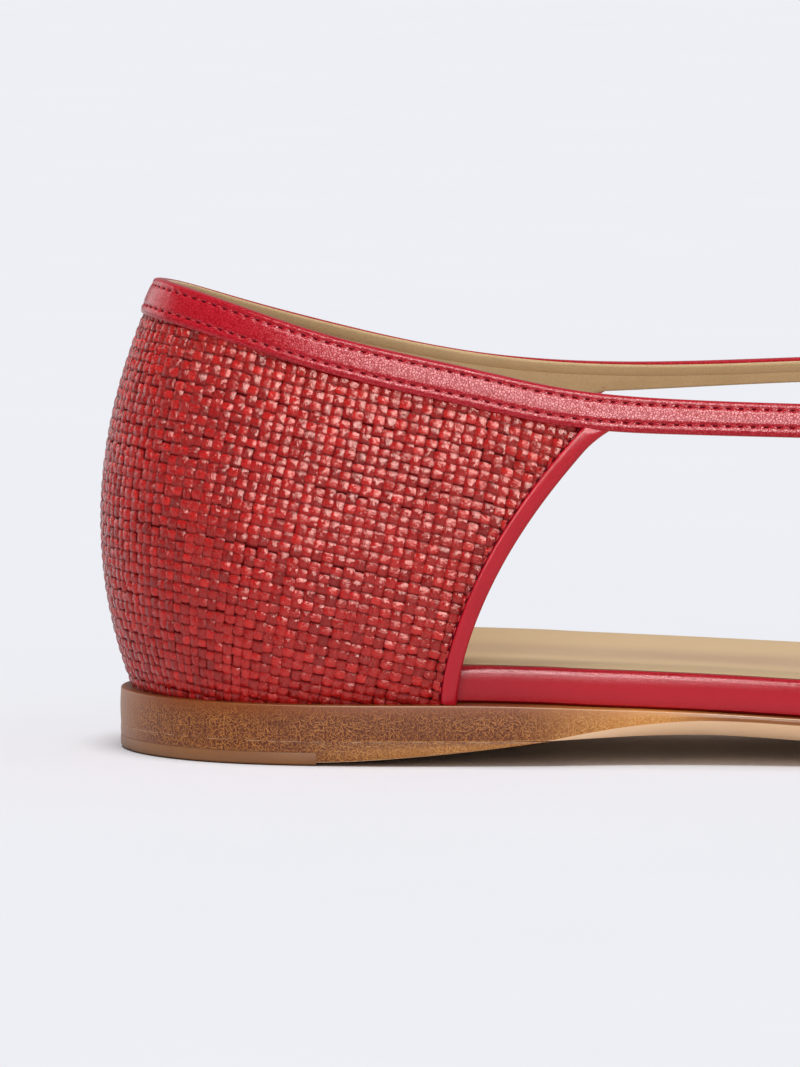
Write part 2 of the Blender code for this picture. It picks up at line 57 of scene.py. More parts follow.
# A row for each upright section of the last, from the heel back round by the outer side: the feather line's
# place (shares of the length and of half the ball), the topline's place and rise, the band's width, and the
# handles of the wall's curve (out and up from the foot, out and down from the top, as shares of its chord).
LAST_SECTIONS = np.array(
    [
        (0.0175, 0.000, 0.0333, 0.000, 1.000, 5.2, 0.125, 0.330, 0.156, 0.330),
        (0.0360, -0.335, 0.0488, -0.266, 0.991, 5.2, 0.124, 0.330, 0.146, 0.330),
        (0.0720, -0.535, 0.0820, -0.405, 0.954, 5.2, 0.125, 0.330, 0.128, 0.330),
        (0.1260, -0.632, 0.1290, -0.500, 0.900, 5.2, 0.125, 0.330, 0.112, 0.330),
        (0.2110, -0.650, 0.2120, -0.590, 0.830, 5.2, 0.100, 0.330, 0.095, 0.330),
        (0.2640, -0.655, 0.2640, -0.632, 0.791, 5.1, 0.092, 0.330, 0.115, 0.330),
        (0.3250, -0.665, 0.3250, -0.666, 0.772, 4.8, 0.090, 0.330, 0.140, 0.330),
        (0.4400, -0.760, 0.4350, -0.730, 0.761, 4.6, 0.095, 0.340, 0.130, 0.320),
        (0.5700, -0.930, 0.5450, -0.755, 0.743, 4.6, 0.105, 0.350, 0.160, 0.290),
        (0.7000, -1.000, 0.6350, -0.660, 0.713, 4.6, 0.105, 0.360, 0.230, 0.250),
        (0.8250, -0.900, 0.6960, -0.460, 0.688, 4.6, 0.090, 0.340, 0.320, 0.190),
        (0.9180, -0.665, 0.7300, -0.230, 0.676, 4.6, 0.070, 0.310, 0.400, 0.140),
        (0.9770, -0.290, 0.7415, -0.075, 0.671, 4.6, 0.058, 0.290, 0.430, 0.110),
        (1.0000, 0.150, 0.7430, 0.060, 0.670, 4.6, 0.055, 0.285, 0.430, 0.107),
        (0.9850, 0.500, 0.7380, 0.190, 0.672, 4.6, 0.060, 0.295, 0.410, 0.120),
        (0.9400, 0.760, 0.7180, 0.370, 0.680, 4.6, 0.075, 0.315, 0.350, 0.160),
        (0.8500, 0.940, 0.6780, 0.560, 0.700, 4.6, 0.090, 0.340, 0.280, 0.215),
        (0.7300, 1.000, 0.6200, 0.685, 0.731, 4.5, 0.100, 0.355, 0.210, 0.260),
        (0.6050, 0.905, 0.5450, 0.725, 0.771, 4.1, 0.100, 0.350, 0.170, 0.300),
        (0.4600, 0.630, 0.4450, 0.700, 0.802, 3.7, 0.100, 0.340, 0.180, 0.320),
        (0.3350, 0.520, 0.3300, 0.630, 0.793, 3.9, 0.100, 0.330, 0.190, 0.330),
        (0.2180, 0.590, 0.2150, 0.575, 0.815, 5.2, 0.105, 0.330, 0.095, 0.330),
        (0.1260, 0.632, 0.1290, 0.500, 0.885, 5.2, 0.125, 0.330, 0.112, 0.330),
        (0.0720, 0.535, 0.0820, 0.405, 0.936, 5.2, 0.125, 0.330, 0.128, 0.330),
        (0.0360, 0.335, 0.0488, 0.266, 0.978, 5.2, 0.124, 0.330, 0.146, 0.330),
    ]
)
TOE_SECTION = 13

# A row for each station along the sole: share of the length, then the heights of its upper face, of its
# underside on the centre line and of its side's lower corner, the width of the bevel under the side, and
# how far the side stands out from the feather line.
SOLE_STATIONS = np.array(
    [
        (0.00, 8.4, 3.4, 3.4, 0.3, 1.4),
        (0.20, 8.4, 3.4, 3.4, 0.3, 1.4),
        (0.25, 8.15, 3.45, 3.55, 0.6, 0.9),
        (0.27, 7.92, 3.5, 4.4, 2.5, 0.3),
        (0.305, 7.6, 3.5, 5.7, 6.5, -0.4),
        (0.34, 7.25, 3.4, 6.3, 8.8, -0.6),
        (0.40, 6.5, 2.6, 5.65, 9.0, -0.6),
        (0.47, 5.5, 1.4, 4.0, 7.5, -0.4),
        (0.55, 4.45, 0.2, 1.7, 4.0, 0.9),
        (0.60, 4.0, 0.0, 0.6, 1.5, 1.4),
        (0.75, 4.0, 0.0, 0.6, 1.5, 1.4),
        (0.87, 5.1, 1.1, 1.7, 1.5, 1.4),
        (1.01, 9.0, 5.0, 5.6, 1.5, 1.4),
    ]
)
SOLE_TOP, SOLE_UNDER, SOLE_EDGE, SOLE_BEVEL, SOLE_LEDGE = 1, 2, 3, 4, 5

feather_points = LAST_SECTIONS[:, :2] * (LAST_LENGTH, HALF_BALL)
feather_chords = np.linalg.norm(np.roll(feather_points, -1, axis=0) - feather_points, axis=1)
SECTION_PLACES = np.append(0.0, np.cumsum(feather_chords)[:-1]) / feather_chords.sum()
TOE_PLACE = SECTION_PLACES[TOE_SECTION]
ACROSS_SOLE = (1 - np.cos(np.linspace(0, math.pi, 11))) / 2


def closed_spline(values, where):
    """The cubic spline through one value for each section, smooth right round the loop of places 0 to 1."""
    count = len(SECTION_PLACES)
    this = np.arange(count)
    after = (this + 1) % count
    step = np.diff(np.append(SECTION_PLACES, 1.0))
    slope = (values[after] - values) / step[:, None]
    system = np.zeros((count, count))
    system[this, this] = 2 * (np.roll(step, 1) + step)
    system[this, after] += step
    system[this, this - 1] += np.roll(step, 1)
    bend = np.linalg.solve(system, 6 * (slope - np.roll(slope, 1, axis=0)))
    where = np.mod(where, 1.0)
    i = np.clip(np.searchsorted(SECTION_PLACES, where, side="right") - 1, 0, count - 1)
    h = step[i][:, None]
    b = (where - SECTION_PLACES[i])[:, None] / h
    a = 1 - b
    straight = a * values[i] + b * values[after[i]]
    return straight + ((a**3 - a) * bend[i] + (b**3 - b) * bend[after[i]]) * h**2 / 6


def sole_profile(column, x):
    """A column of the sole's stations at x: a cubic with harmonic-mean slopes, so it never overshoots."""
    xs = SOLE_STATIONS[:, 0] * LAST_LENGTH
    ys = SOLE_STATIONS[:, column]
    steps = np.diff(xs)
    slopes = np.diff(ys) / steps
    same_way = slopes[:-1] * slopes[1:] > 0
    mean = 2 * slopes[:-1] * slopes[1:] / np.where(same_way, slopes[:-1] + slopes[1:], 1.0)
    tangents = np.concatenate([slopes[:1], np.where(same_way, mean, 0.0), slopes[-1:]])
    x = np.clip(x, xs[0], xs[-1])
    i = np.clip(np.searchsorted(xs, x, side="right") - 1, 0, len(steps) - 1)
    t = (x - xs[i]) / steps[i]
    start = (1 + 2 * t) * (1 - t) ** 2 * ys[i] + t * (1 - t) ** 2 * steps[i] * tangents[i]
    return start + t**2 * (3 - 2 * t) * ys[i + 1] + t**2 * (t - 1) * steps[i] * tangents[i + 1]


def feather_line(place, offset):
    """The line where upper meets sole, seen from above, moved outwards by offset along its normal."""
    ahead = closed_spline(feather_points, place + 1e-4) - closed_spline(feather_points, place - 1e-4)
    ahead /= np.linalg.norm(ahead, axis=1)[:, None]
    outward = np.column_stack([ahead[:, 1], -ahead[:, 0]])
    return closed_spline(feather_points, place) + outward * np.broadcast_to(offset, place.shape)[:, None]


def sole_rungs(offset, first=0.0, last=1.0, count=150):
    """Straight lines across the shoe between its two offset edges, closer together at the heel and toe."""
    step = np.linspace(0, 1, count)
    step = first + (last - first) * (0.45 * step + 0.55 * (1 - np.cos(math.pi * step)) / 2)
    outer = feather_line(TOE_PLACE * step, offset)
    inner = feather_line(1 - (1 - TOE_PLACE) * step, offset)
    across = ACROSS_SOLE[None, :, None]
    return outer[:, None] * (1 - across) + inner[:, None] * across


def sole_edge_rungs(offset, *span):
    """The same lines between the sole's own edges, which stand out from the feather line by its ledge."""
    x = sole_rungs(0.0, *span)[:, :, 0].mean(axis=1)
    return sole_rungs(sole_profile(SOLE_LEDGE, x) + offset, *span)


def run_length(points):
    """The distance along a line of points, from its first point to each."""
    return np.append(0.0, np.cumsum(np.linalg.norm(np.diff(points, axis=0), axis=1)))


def with_height(plan, height):
    """Points seen from above, each given its height."""
    return np.concatenate([plan, np.broadcast_to(height, plan.shape[:2])[:, :, None]], axis=2)


def grid_quads(index, flip=False):
    """The quads between the neighbours of a grid of vertex numbers."""
    corners = [index[:-1, :-1], index[:-1, 1:], index[1:, 1:], index[1:, :-1]]
    quads = np.stack(corners, axis=-1).reshape(-1, 4)
    return quads[:, ::-1] if flip else quads


def add_piece(
    name, points, quads, materials, stands_for=(), ends=(), values=None, uv=None, weld=True
):
    """A smooth mesh object from points and faces; values are vertex attributes, ends the capping faces."""
    mesh = bpy.data.meshes.new(name)
    mesh.from_pydata(((points + LAST_TO_ROW) / 1000).tolist(), [], quads.tolist() + list(ends))
    for label, data in (values or {}).items():
        attribute = mesh.attributes.new(label, "FLOAT", "POINT")
        attribute.data.foreach_set("value", np.ascontiguousarray(data, np.float32).ravel())
    if uv is not None:
        corners = np.empty(len(mesh.loops), np.int32)
        mesh.loops.foreach_get("vertex_index", corners)
        layer = mesh.uv_layers.new(name="strand")
        layer.data.foreach_set("uv", np.ascontiguousarray(uv[corners], np.float32).ravel())
    if weld:
        shape = bmesh.new()
        shape.from_mesh(mesh)
        bmesh.ops.remove_doubles(shape, verts=shape.verts, dist=2e-6)
        loose = [vert for vert in shape.verts if not vert.link_faces]
        bmesh.ops.delete(shape, geom=loose, context="VERTS")
        shape.to_mesh(mesh)
        shape.free()
    mesh.shade_smooth()
    mesh.set_sharp_from_angle(angle=math.radians(50))
    for material in materials:
        mesh.materials.append(material)
    piece = bpy.data.objects.new(name, mesh)
    bpy.context.scene.collection.objects.link(piece)
    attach(piece, "root")
    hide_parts(*stands_for)
    return piece


def lofted_block(name, layers, levels, materials, stands_for):
    """A closed block: its first and last layers of rungs whole, the edges of all layers joined as sides."""
    points = np.concatenate([layer.reshape(-1, 3) for layer in layers])
    index = np.arange(len(points)).reshape(len(layers), *layers[0].shape[:2])
    faces = [grid_quads(index[0], True), grid_quads(index[-1])]
    faces += [grid_quads(index[:, :, 0], True), grid_quads(index[:, :, -1])]
    faces += [grid_quads(index[:, 0, :]), grid_quads(index[:, -1, :], True)]
    levels = [np.broadcast_to(v, layer.shape[:2]).ravel() for v, layer in zip(levels, layers)]
    outer, inner = [run_length(layers[0][:, side, :2])[:, None] for side in (0, -1)]
    girth = outer * (1 - ACROSS_SOLE) - inner * ACROSS_SOLE
    values = {"level": np.concatenate(levels), "girth": np.tile(girth.ravel(), len(layers))}
    return add_piece(name, points, np.concatenate(faces), materials, stands_for, values=values)


def linear(colour):
    """An sRGB hex colour as the linear RGBA that a shader takes."""
    parts = np.array([int(colour[i : i + 2], 16) for i in (1, 3, 5)]) / 255
    return (*np.where(parts <= 0.04045, parts / 12.92, ((parts + 0.055) / 1.055) ** 2.4).tolist(), 1.0)


def add_node(material, kind, sockets, **settings):
    """Adds a shader node with its settings, fills its sockets with values or links, gives its outputs."""
    node = material.node_tree.nodes.new("ShaderNode" + kind)
    for name, value in settings.items():
        setattr(node, name, value)
    for name, value in sockets.items():
        if isinstance(value, bpy.types.NodeSocket):
            material.node_tree.links.new(value, node.inputs[name])
        else:
            node.inputs[name].default_value = linear(value) if isinstance(value, str) else value
    return node.outputs


def new_material(name):
    """An empty node material, add_node bound to it, and its Object coordinates in millimetres."""
    material = bpy.data.materials.new(name)
    material.use_nodes = True
    material.node_tree.nodes.clear()
    add = partial(add_node, material)
    place = add("TexCoord", {})["Object"]
    return material, add, add("Mapping", {"Vector": place, "Scale": (1000, 1000, 1000)})["Vector"]


# Sole leather shows its cut edge: short pale fibres, about 0.8 mm long and a tenth wide, lie at all angles
# in brown stain. Few show along the top. At the back of the heel a painted pale reflection lightens the
# stain and hides the fibres. The edge turns golden where the lift and the waist run thin, and is polished
# bare in front of that. It has a low waxed gloss and a natural underside, with a painted highlight as a
# pale line along its top lip and, broken, along the hairline to the lift.
sole_leather, add, mm = new_material("vegetable_tanned_sole_leather")
level = add("Attribute", {}, attribute_name="level")["Fac"]
girth = add("Attribute", {}, attribute_name="girth")["Fac"]
axes = add("SeparateXYZ", {"Vector": mm})
along = axes["X"]
wander = add("TexNoise", {"Vector": mm, "Scale": 1.1, "Detail": 1.0})["Color"]
edge_place = add("CombineXYZ", {"X": girth, "Y": axes["Z"]})["Vector"]
edge_place = add(
    "VectorMath", {0: wander, 1: (0.3, 0.3, 0.0), 2: edge_place}, operation="MULTIPLY_ADD"
)["Vector"]
fibre = 0.0
for cells, aside in ((1.3, 0.0), (1.55, 31.0), (1.85, 57.0), (2.2, 83.0)):
    moved = add("VectorMath", {0: edge_place, 1: (aside, aside, 0.0)}, operation="ADD")["Vector"]
    nearest = add("TexVoronoi", {"Vector": moved, "Scale": cells}, voronoi_dimensions="2D")
    chance_parts = add("SeparateXYZ", {"Vector": nearest["Color"]})
    angle = add("Math", {0: chance_parts["X"], 1: math.pi}, operation="MULTIPLY")[0]
    turned = add(
        "VectorRotate",
        {"Vector": moved, "Center": nearest["Position"], "Angle": angle},
        rotation_type="Z_AXIS",
    )["Vector"]
    offset = add("VectorMath", {0: turned, 1: nearest["Position"]}, operation="SUBTRACT")["Vector"]
    offset = add("VectorMath", {0: offset}, operation="ABSOLUTE")["Vector"]
    parts = add("SeparateXYZ", {"Vector": offset})
    thin = add(
        "MapRange", {"Value": parts["Y"], "From Min": 0.02, "From Max": 0.058, "To Min": 1.0, "To Max": 0.0}
    )[0]
    short = add(
        "MapRange", {"Value": parts["X"], "From Min": 0.30, "From Max": 0.50, "To Min": 1.0, "To Max": 0.0}
    )[0]
    stroke = add("Math", {0: thin, 1: short}, operation="MULTIPLY")[0]
    paleness = add("MapRange", {"Value": chance_parts["Y"], "To Min": 0.15})[0]
    stroke = add("Math", {0: stroke, 1: paleness}, operation="MULTIPLY")[0]
    fibre = add("Math", {0: fibre, 1: stroke}, operation="MAXIMUM")[0]
patches = add("TexNoise", {"Vector": mm, "Scale": 0.11, "Detail": 2.0, "Roughness": 0.6})["Fac"]
patchy = add("MapRange", {"Value": patches, "From Min": 0.33, "From Max": 0.60, "To Min": 0.6})[0]
# Painted reflection: at the back of the heel the stain is paler and the fibres fewer.
past_back_reflection = add("MapRange", {"Value": along, "From Min": -123.2, "From Max": -116.5, "To Min": 0.10})[0]
downward = add("MapRange", {"Value": level, "From Min": 0.10, "From Max": 0.30, "To Min": 0.25})[0]
golden = add("MapRange", {"Value": along, "From Min": -66.0, "From Max": -50.0})[0]
low = add("MapRange", {"Value": level, "From Min": 0.62, "From Max": 0.85, "To Max": 0.55})[0]
forward = add("MapRange", {"Value": along, "From Min": -96.0, "From Max": -82.0})[0]
front_of_lift = add("Math", {0: low, 1: forward}, operation="MULTIPLY")[0]
golden = add("Math", {0: golden, 1: front_of_lift}, operation="MAXIMUM")[0]
polished = add("MapRange", {"Value": along, "From Min": -46.0, "From Max": -37.0})[0]
showing = add("Math", {0: patchy, 1: past_back_reflection}, operation="MULTIPLY")[0]
showing = add("Math", {0: showing, 1: downward}, operation="MULTIPLY")[0]
showing = add("Math", {0: showing, 1: polished}, operation="SUBTRACT", use_clamp=True)[0]
veins = add("Math", {0: fibre, 1: showing}, operation="MULTIPLY")[0]
stain = add("Mix", {0: downward, 6: "#844010", 7: "#5C2609"}, data_type="RGBA")[2]
# Painted pale reflection over the back of the heel.
stain = add("Mix", {0: past_back_reflection, 6: "#AA7042", 7: stain}, data_type="RGBA")[2]
stain = add("Mix", {0: golden, 6: stain, 7: "#BC7A36"}, data_type="RGBA")[2]
stain = add("Mix", {0: polished, 6: stain, 7: "#8A5226"}, data_type="RGBA")[2]
pale = add("Mix", {0: golden, 6: "#C27C34", 7: "#E0A860"}, data_type="RGBA")[2]
edge_colour = add("Mix", {0: veins, 6: stain, 7: pale}, data_type="RGBA")[2]
# Painted highlight: a pale line on the top lip, brighter where polished, broken along the lift's hairline.
at_lip = add("Math", {0: level, 1: 0.0, 2: 0.035}, operation="COMPARE")[0]
edge_highlight_start = add("MapRange", {"Value": along, "From Min": -112.0, "From Max": -85.0, "To Max": 0.45})[0]
edge_highlight_start = add("Math", {0: polished, 1: 0.5, 2: edge_highlight_start}, operation="MULTIPLY_ADD")[0]
edge_highlight = add("Math", {0: at_lip, 1: edge_highlight_start}, operation="MULTIPLY")[0]
at_seam = add("Math", {0: level, 1: 0.6, 2: 0.012}, operation="COMPARE")[0]
breaks = add("TexNoise", {"Vector": mm, "Scale": 0.5, "Detail": 2.0})["Fac"]
seam_highlight = add("MapRange", {"Value": breaks, "From Min": 0.42, "From Max": 0.6, "To Max": 0.5})[0]
edge_highlight = add("Math", {0: at_seam, 1: seam_highlight, 2: edge_highlight}, operation="MULTIPLY_ADD")[0]
edge_colour = add("Mix", {0: edge_highlight, 6: edge_colour, 7: "#D2AC84"}, data_type="RGBA")[2]
natural = add("Mix", {0: patches, 6: "#E0B48C", 7: "#EECBA6"}, data_type="RGBA")[2]
underside = add("MapRange", {"Value": level, "From Min": 1.02, "From Max": 1.10})[0]
colour = add("Mix", {0: underside, 6: edge_colour, 7: natural}, data_type="RGBA")[2]
gloss = add("MapRange", {"Value": underside, "To Min": 0.40, "To Max": 0.68})[0]
gloss = add("Math", {0: polished, 1: -0.14, 2: gloss}, operation="MULTIPLY_ADD")[0]
relief = add("Bump", {"Height": veins, "Strength": 0.35, "Distance": 0.00006})["Normal"]
shader = add(
    "BsdfPrincipled",
    {"Base Color": colour, "Roughness": gloss, "IOR": 1.5, "Specular IOR Level": 0.35, "Normal": relief},
)["BSDF"]
add("OutputMaterial", {"Surface": shader})

bevel = sole_profile(SOLE_BEVEL, sole_rungs(0.0)[:, :, 0].mean(axis=1))
outsole_layers = []
outsole_levels = []
OUTSOLE_LIP = ((-0.30, 0.0, -0.4), (-0.10, 0.03, -0.1), (-0.03, 0.10, 0.0), (0.0, 0.25, 0.1))
for offset, fall, height_level in OUTSOLE_LIP:
    plan = sole_edge_rungs(offset)
    outsole_layers.append(with_height(plan, sole_profile(SOLE_TOP, plan[:, :, 0]) - fall))
    outsole_levels.append(height_level)
for share in (0.25, 0.5, 0.75, 0.95):
    plan = sole_edge_rungs(0.10 * math.sin(math.pi * share))
    upper_corner = sole_profile(SOLE_TOP, plan[:, :, 0]) - 0.25
    lower_corner = sole_profile(SOLE_EDGE, plan[:, :, 0])
    outsole_layers.append(with_height(plan, upper_corner * (1 - share) + lower_corner * share))
    outsole_levels.append(0.1 + 0.45 * share)
for share in (0.0, 0.08, 0.3, 0.55, 0.8, 1.0):
    plan = sole_edge_rungs(-0.02 - (bevel - 0.02) * share)
    lower_corner = sole_profile(SOLE_EDGE, plan[:, :, 0])
    deepest = sole_profile(SOLE_UNDER, plan[:, :, 0])
    curve = math.sin(share * math.pi / 2)
    outsole_layers.append(with_height(plan, lower_corner * (1 - curve) + deepest * curve))
    outsole_levels.append(1.0 if share == 0 else 1.1 + share)
lofted_block("outsole_leather", outsole_layers, outsole_levels, [sole_leather], ["outsole"])


# Heel lift. A wedge of the same sole leather under the rear of the sole, stained and burnished together
# with it, so that only a hairline shows between them. It steps over the top piece and runs out at the
# waist.
LIFT_LENGTH = 62.0
LIFT_FRONT_EDGE = 0.08
LIFT_REAR_CLEARANCE = 0.5
LIFT_CURVE = 1.5
TOP_PIECE_HEIGHT = 1.8
TOP_PIECE_LENGTH = 30.4
HAIRLINE = 0.01
steps = np.linspace(0, 1, 400)
feather_x = feather_line(TOE_PLACE * steps, 0.0)[:, 0]
rear_end = np.interp(TOP_PIECE_LENGTH + HAIRLINE, feather_x, steps)
front_end = np.interp(LIFT_LENGTH, feather_x, steps)
lift_layers = []
lift_levels = []
for offset, share, height_level in (
    (0.0, 0.0, 0.6), (0.01, 0.05, 0.61), (0.02, 0.10, 0.7), (0.04, 0.40, 0.8),
    (0.04, 0.65, 0.9), (0.0, 0.97, 1.0), (-0.08, 1.0, 1.2),
):
    rear = sole_edge_rungs(offset, 0.0, rear_end, 70)
    front = sole_edge_rungs(offset, rear_end, front_end, 60)
    plan = np.concatenate([rear, front])
    x = plan[:, :, 0]
    ceiling = sole_profile(SOLE_UNDER, x) - HAIRLINE
    taper = np.clip((x - x[70].mean()) / (x[-1].mean() - x[70].mean()), 0, 1)
    rising = LIFT_REAR_CLEARANCE + (ceiling - LIFT_FRONT_EDGE - LIFT_REAR_CLEARANCE) * taper**LIFT_CURVE
    stepped = np.arange(len(plan))[:, None] < 70
    floor_side = np.where(stepped, TOP_PIECE_HEIGHT + HAIRLINE, rising)
    lift_layers.append(with_height(plan, ceiling * (1 - share) + floor_side * share))
    lift_levels.append(height_level)
lofted_block("heel_lift_leather", lift_layers, lift_levels, [sole_leather], ["heel_lift"])


# Heel top piece. Brown rubber let into the rear of the lift's underside with cement; its trimmed edge is
# ground flush with the lift and waxed with it, and its lower face is the flat that the heel stands on.
heel_rubber, add, mm = new_material("ground_heel_rubber")
speckle = add("TexNoise", {"Vector": mm, "Scale": 3.2, "Detail": 3.0, "Roughness": 0.7})["Fac"]
cloud = add("TexNoise", {"Vector": mm, "Scale": 0.16, "Detail": 2.0})["Fac"]
blotch = add("Mix", {0: cloud, 6: "#7A4822", 7: "#8E5C2C"}, data_type="RGBA")[2]
grit = add("MapRange", {"Value": speckle, "From Min": 0.62, "From Max": 0.75, "To Max": 0.5})[0]
colour = add("Mix", {0: grit, 6: blotch, 7: "#5B3A1E"}, data_type="RGBA")[2]
relief = add("Bump", {"Height": speckle, "Strength": 0.25, "Distance": 0.00004})["Normal"]
shader = add(
    "BsdfPrincipled", {"Base Color": colour, "Roughness": 0.5, "IOR": 1.52, "Normal": relief}
)["BSDF"]
add("OutputMaterial", {"Surface": shader})

rear_end = np.interp(TOP_PIECE_LENGTH, feather_x, steps)
top_piece_layers = []
for offset, height in ((0.0, 1.8), (0.02, 1.72), (0.04, 1.0), (0.0, 0.5), (-0.15, 0.22), (-0.6, 0.0)):
    top_piece_layers.append(with_height(sole_edge_rungs(offset, 0.0, rear_end, 70), height))
lofted_block(
    "heel_top_piece_rubber", top_piece_layers, [0.0] * 6, [heel_rubber], ["heel_top_piece"]
)


# Footbed. An insole board wrapped in the same red leather as the trims; its rounded edge shows in the two
# side openings, where the wrap is pulled tight over the board and turned under.
UPPER_WALL = 1.8
FOOTBED_HEIGHT = 5.45
FOOTBED_ROUND = 1.2
FOOTBED_INSET = UPPER_WALL + LASTING_GAP + 0.05
DISH_DEPTH = 1.2
ARCH_LIFT = 1.2
ARCH_PLACE = 72.0
ARCH_REACH = 55.0

# Red calf leather: chrome-tanned, with a thin satin coat over a pebble grain of about 0.4 mm. It gives an
# even crimson, with a soft sheen on the pebbles and duller grooves between them, which are painted a
# darker red as shade. Where level is 1 the leather is pulled tight, as on the footbed's side and the
# bindings, and its grain is stretched smooth.
red_leather, add, mm = new_material("red_grained_calf_leather")
crack = add("TexVoronoi", {"Vector": mm, "Scale": 2.6}, feature="DISTANCE_TO_EDGE")["Distance"]
pebble = add(
    "MapRange", {"Value": crack, "From Min": 0.03, "From Max": 0.24}, interpolation_type="SMOOTHSTEP"
)[0]
pores = add("TexNoise", {"Vector": mm, "Scale": 5.5, "Detail": 3.0, "Roughness": 0.6})["Fac"]
mottle = add("TexNoise", {"Vector": mm, "Scale": 0.22, "Detail": 3.0, "Roughness": 0.6})["Fac"]
dyed = add("Mix", {0: mottle, 6: "#B40A1C", 7: "#C21228"}, data_type="RGBA")[2]
stretched = add("Attribute", {}, attribute_name="level")["Fac"]
smooth = add("Math", {0: stretched, 1: 0.85}, operation="MULTIPLY")[0]
grain = add("Math", {0: pebble, 1: smooth}, operation="MAXIMUM")[0]
# The grooves are painted a darker red, as shade in them.
colour = add("Mix", {0: grain, 6: "#9C0818", 7: dyed}, data_type="RGBA")[2]
gloss = add(
    "MapRange", {"Value": pores, "From Min": 0.3, "From Max": 0.7, "To Min": 0.19, "To Max": 0.27}
)[0]
sheen = add("Math", {0: stretched, 1: -0.18, 2: 0.60}, operation="MULTIPLY_ADD")[0]
shining = add("Math", {0: grain, 1: 0.7, 2: 0.3}, operation="MULTIPLY_ADD")[0]
sheen = add("Math", {0: shining, 1: sheen}, operation="MULTIPLY")[0]
relief = add("Bump", {"Height": grain, "Strength": 0.17, "Distance": 0.00004})["Normal"]
shader = add(
    "BsdfPrincipled",
    {"Base Color": colour, "Roughness": gloss, "IOR": 1.5, "Specular IOR Level": sheen, "Normal": relief},
)["BSDF"]
add("OutputMaterial", {"Surface": shader})


def footbed_top(plan):
    """The footbed's top: the sole's top plus the board, less a parabolic dish, plus a bell at the arch."""
    x, y = plan[:, :, 0], plan[:, :, 1]
    edge = sole_rungs(0.0)
    outer = np.interp(x, edge[:, 0, 0], edge[:, 0, 1])
    inner = np.interp(x, edge[:, -1, 0], edge[:, -1, 1])
    across = np.clip((2 * y - outer - inner) / np.maximum(inner - outer, 1.0), -1, 1)
    arch = ARCH_LIFT * np.exp(-(((x - ARCH_PLACE) / ARCH_REACH) ** 2)) * (0.5 + 0.5 * across) ** 2
    return sole_profile(SOLE_TOP, x) + FOOTBED_HEIGHT - DISH_DEPTH * (1 - across**2) + arch


footbed_layers = []
for turn in np.radians((90, 66, 45, 24, 8)):
    plan = sole_rungs(-FOOTBED_INSET - FOOTBED_ROUND * (1 - math.cos(turn)))
    footbed_layers.append(with_height(plan, footbed_top(plan) - FOOTBED_ROUND * (1 - math.sin(turn))))
for bulge, share in ((0.06, 0.3), (0.10, 0.55), (0.08, 0.80), (-0.02, 0.91), (-0.5, 0.95), (-0.7, 1.0)):
    plan = sole_rungs(-FOOTBED_INSET + bulge)
    shoulder = footbed_top(plan) - FOOTBED_ROUND
    foot = sole_profile(SOLE_TOP, plan[:, :, 0]) + 0.05
    footbed_layers.append(with_height(plan, shoulder * (1 - share) + foot * share))
footbed_levels = [0.0] * 4 + [0.5] + [1.0] * 6
lofted_block("footbed_wrap", footbed_layers, footbed_levels, [red_leather], ["footbed"])


# Sock lining. A thin tan goatskin sock cemented on the footbed, with its edge skived thin. Its colour is
# painted paler towards its rim, as light falling on the sloping edge, and its upper face is bare.
SOCK_THICKNESS = 0.8
SOCK_INSET = FOOTBED_INSET + 1.5
sock_leather, add, mm = new_material("tan_goatskin_sock")
level = add("Attribute", {}, attribute_name="level")["Fac"]
pebble = add("TexVoronoi", {"Vector": mm, "Scale": 2.2, "Randomness": 1.0}, feature="SMOOTH_F1")
mottle = add("TexNoise", {"Vector": mm, "Scale": 0.10, "Detail": 4.0, "Roughness": 0.6})["Fac"]
# Painted light: the colour turns paler within about 5 to 14 mm of the rim.
rim_light = add(
    "MapRange",
    {"Value": level, "From Min": 5.0, "From Max": 14.0, "To Min": 1.0, "To Max": 0.0},
    interpolation_type="SMOOTHSTEP",
)[0]
middle = add("Mix", {0: mottle, 6: "#AE9072", 7: "#BA9E7E"}, data_type="RGBA")[2]
rim_light_share = add("Math", {0: rim_light, 1: 0.8}, operation="MULTIPLY")[0]
colour = add("Mix", {0: rim_light_share, 6: middle, 7: "#C6AA82"}, data_type="RGBA")[2]
relief = add(
    "Bump", {"Height": pebble["Distance"], "Strength": 0.25, "Distance": 0.00006}, invert=True
)["Normal"]
shader = add(
    "BsdfPrincipled", {"Base Color": colour, "Roughness": 0.58, "IOR": 1.48, "Normal": relief}
)["BSDF"]
add("OutputMaterial", {"Surface": shader})

sock_layers = []
sock_levels = []
for offset, rise in ((-5.0, SOCK_THICKNESS), (-2.2, 0.6), (-1.0, 0.4), (-0.35, 0.22), (0.0, 0.05)):
    plan = sole_rungs(-SOCK_INSET + offset)
    width = np.linalg.norm(plan[:, -1] - plan[:, 0], axis=1)[:, None]
    from_rim = np.minimum(ACROSS_SOLE, 1 - ACROSS_SOLE)[None, :] * width
    sock_layers.append(with_height(plan, footbed_top(plan) + rise))
    sock_levels.append(from_rim)
lofted_block(
    "sock_lining_goatskin", sock_layers, sock_levels, [sock_leather], ["sock_lining"]
)


# Upper's wall. A dark red cotton backing under the weave and a tan suede lining inside, cemented into one
# wall, lasted over the sole's feather line and open above. A stitch line presses a shallow groove into the
# lining.
COUNTER_EDGE_FOOT, COUNTER_EDGE_LEAN = 48.6, 19.6
TOE_EDGE_FOOT, TOE_EDGE_LEAN = 143.0, -20.0
EDGE_POWER = 1.6
BACKING_DEPTH = 0.85
LINING_DEPTH = 1.7
LOOP_STEPS = 1440
WALL_STEPS = 160


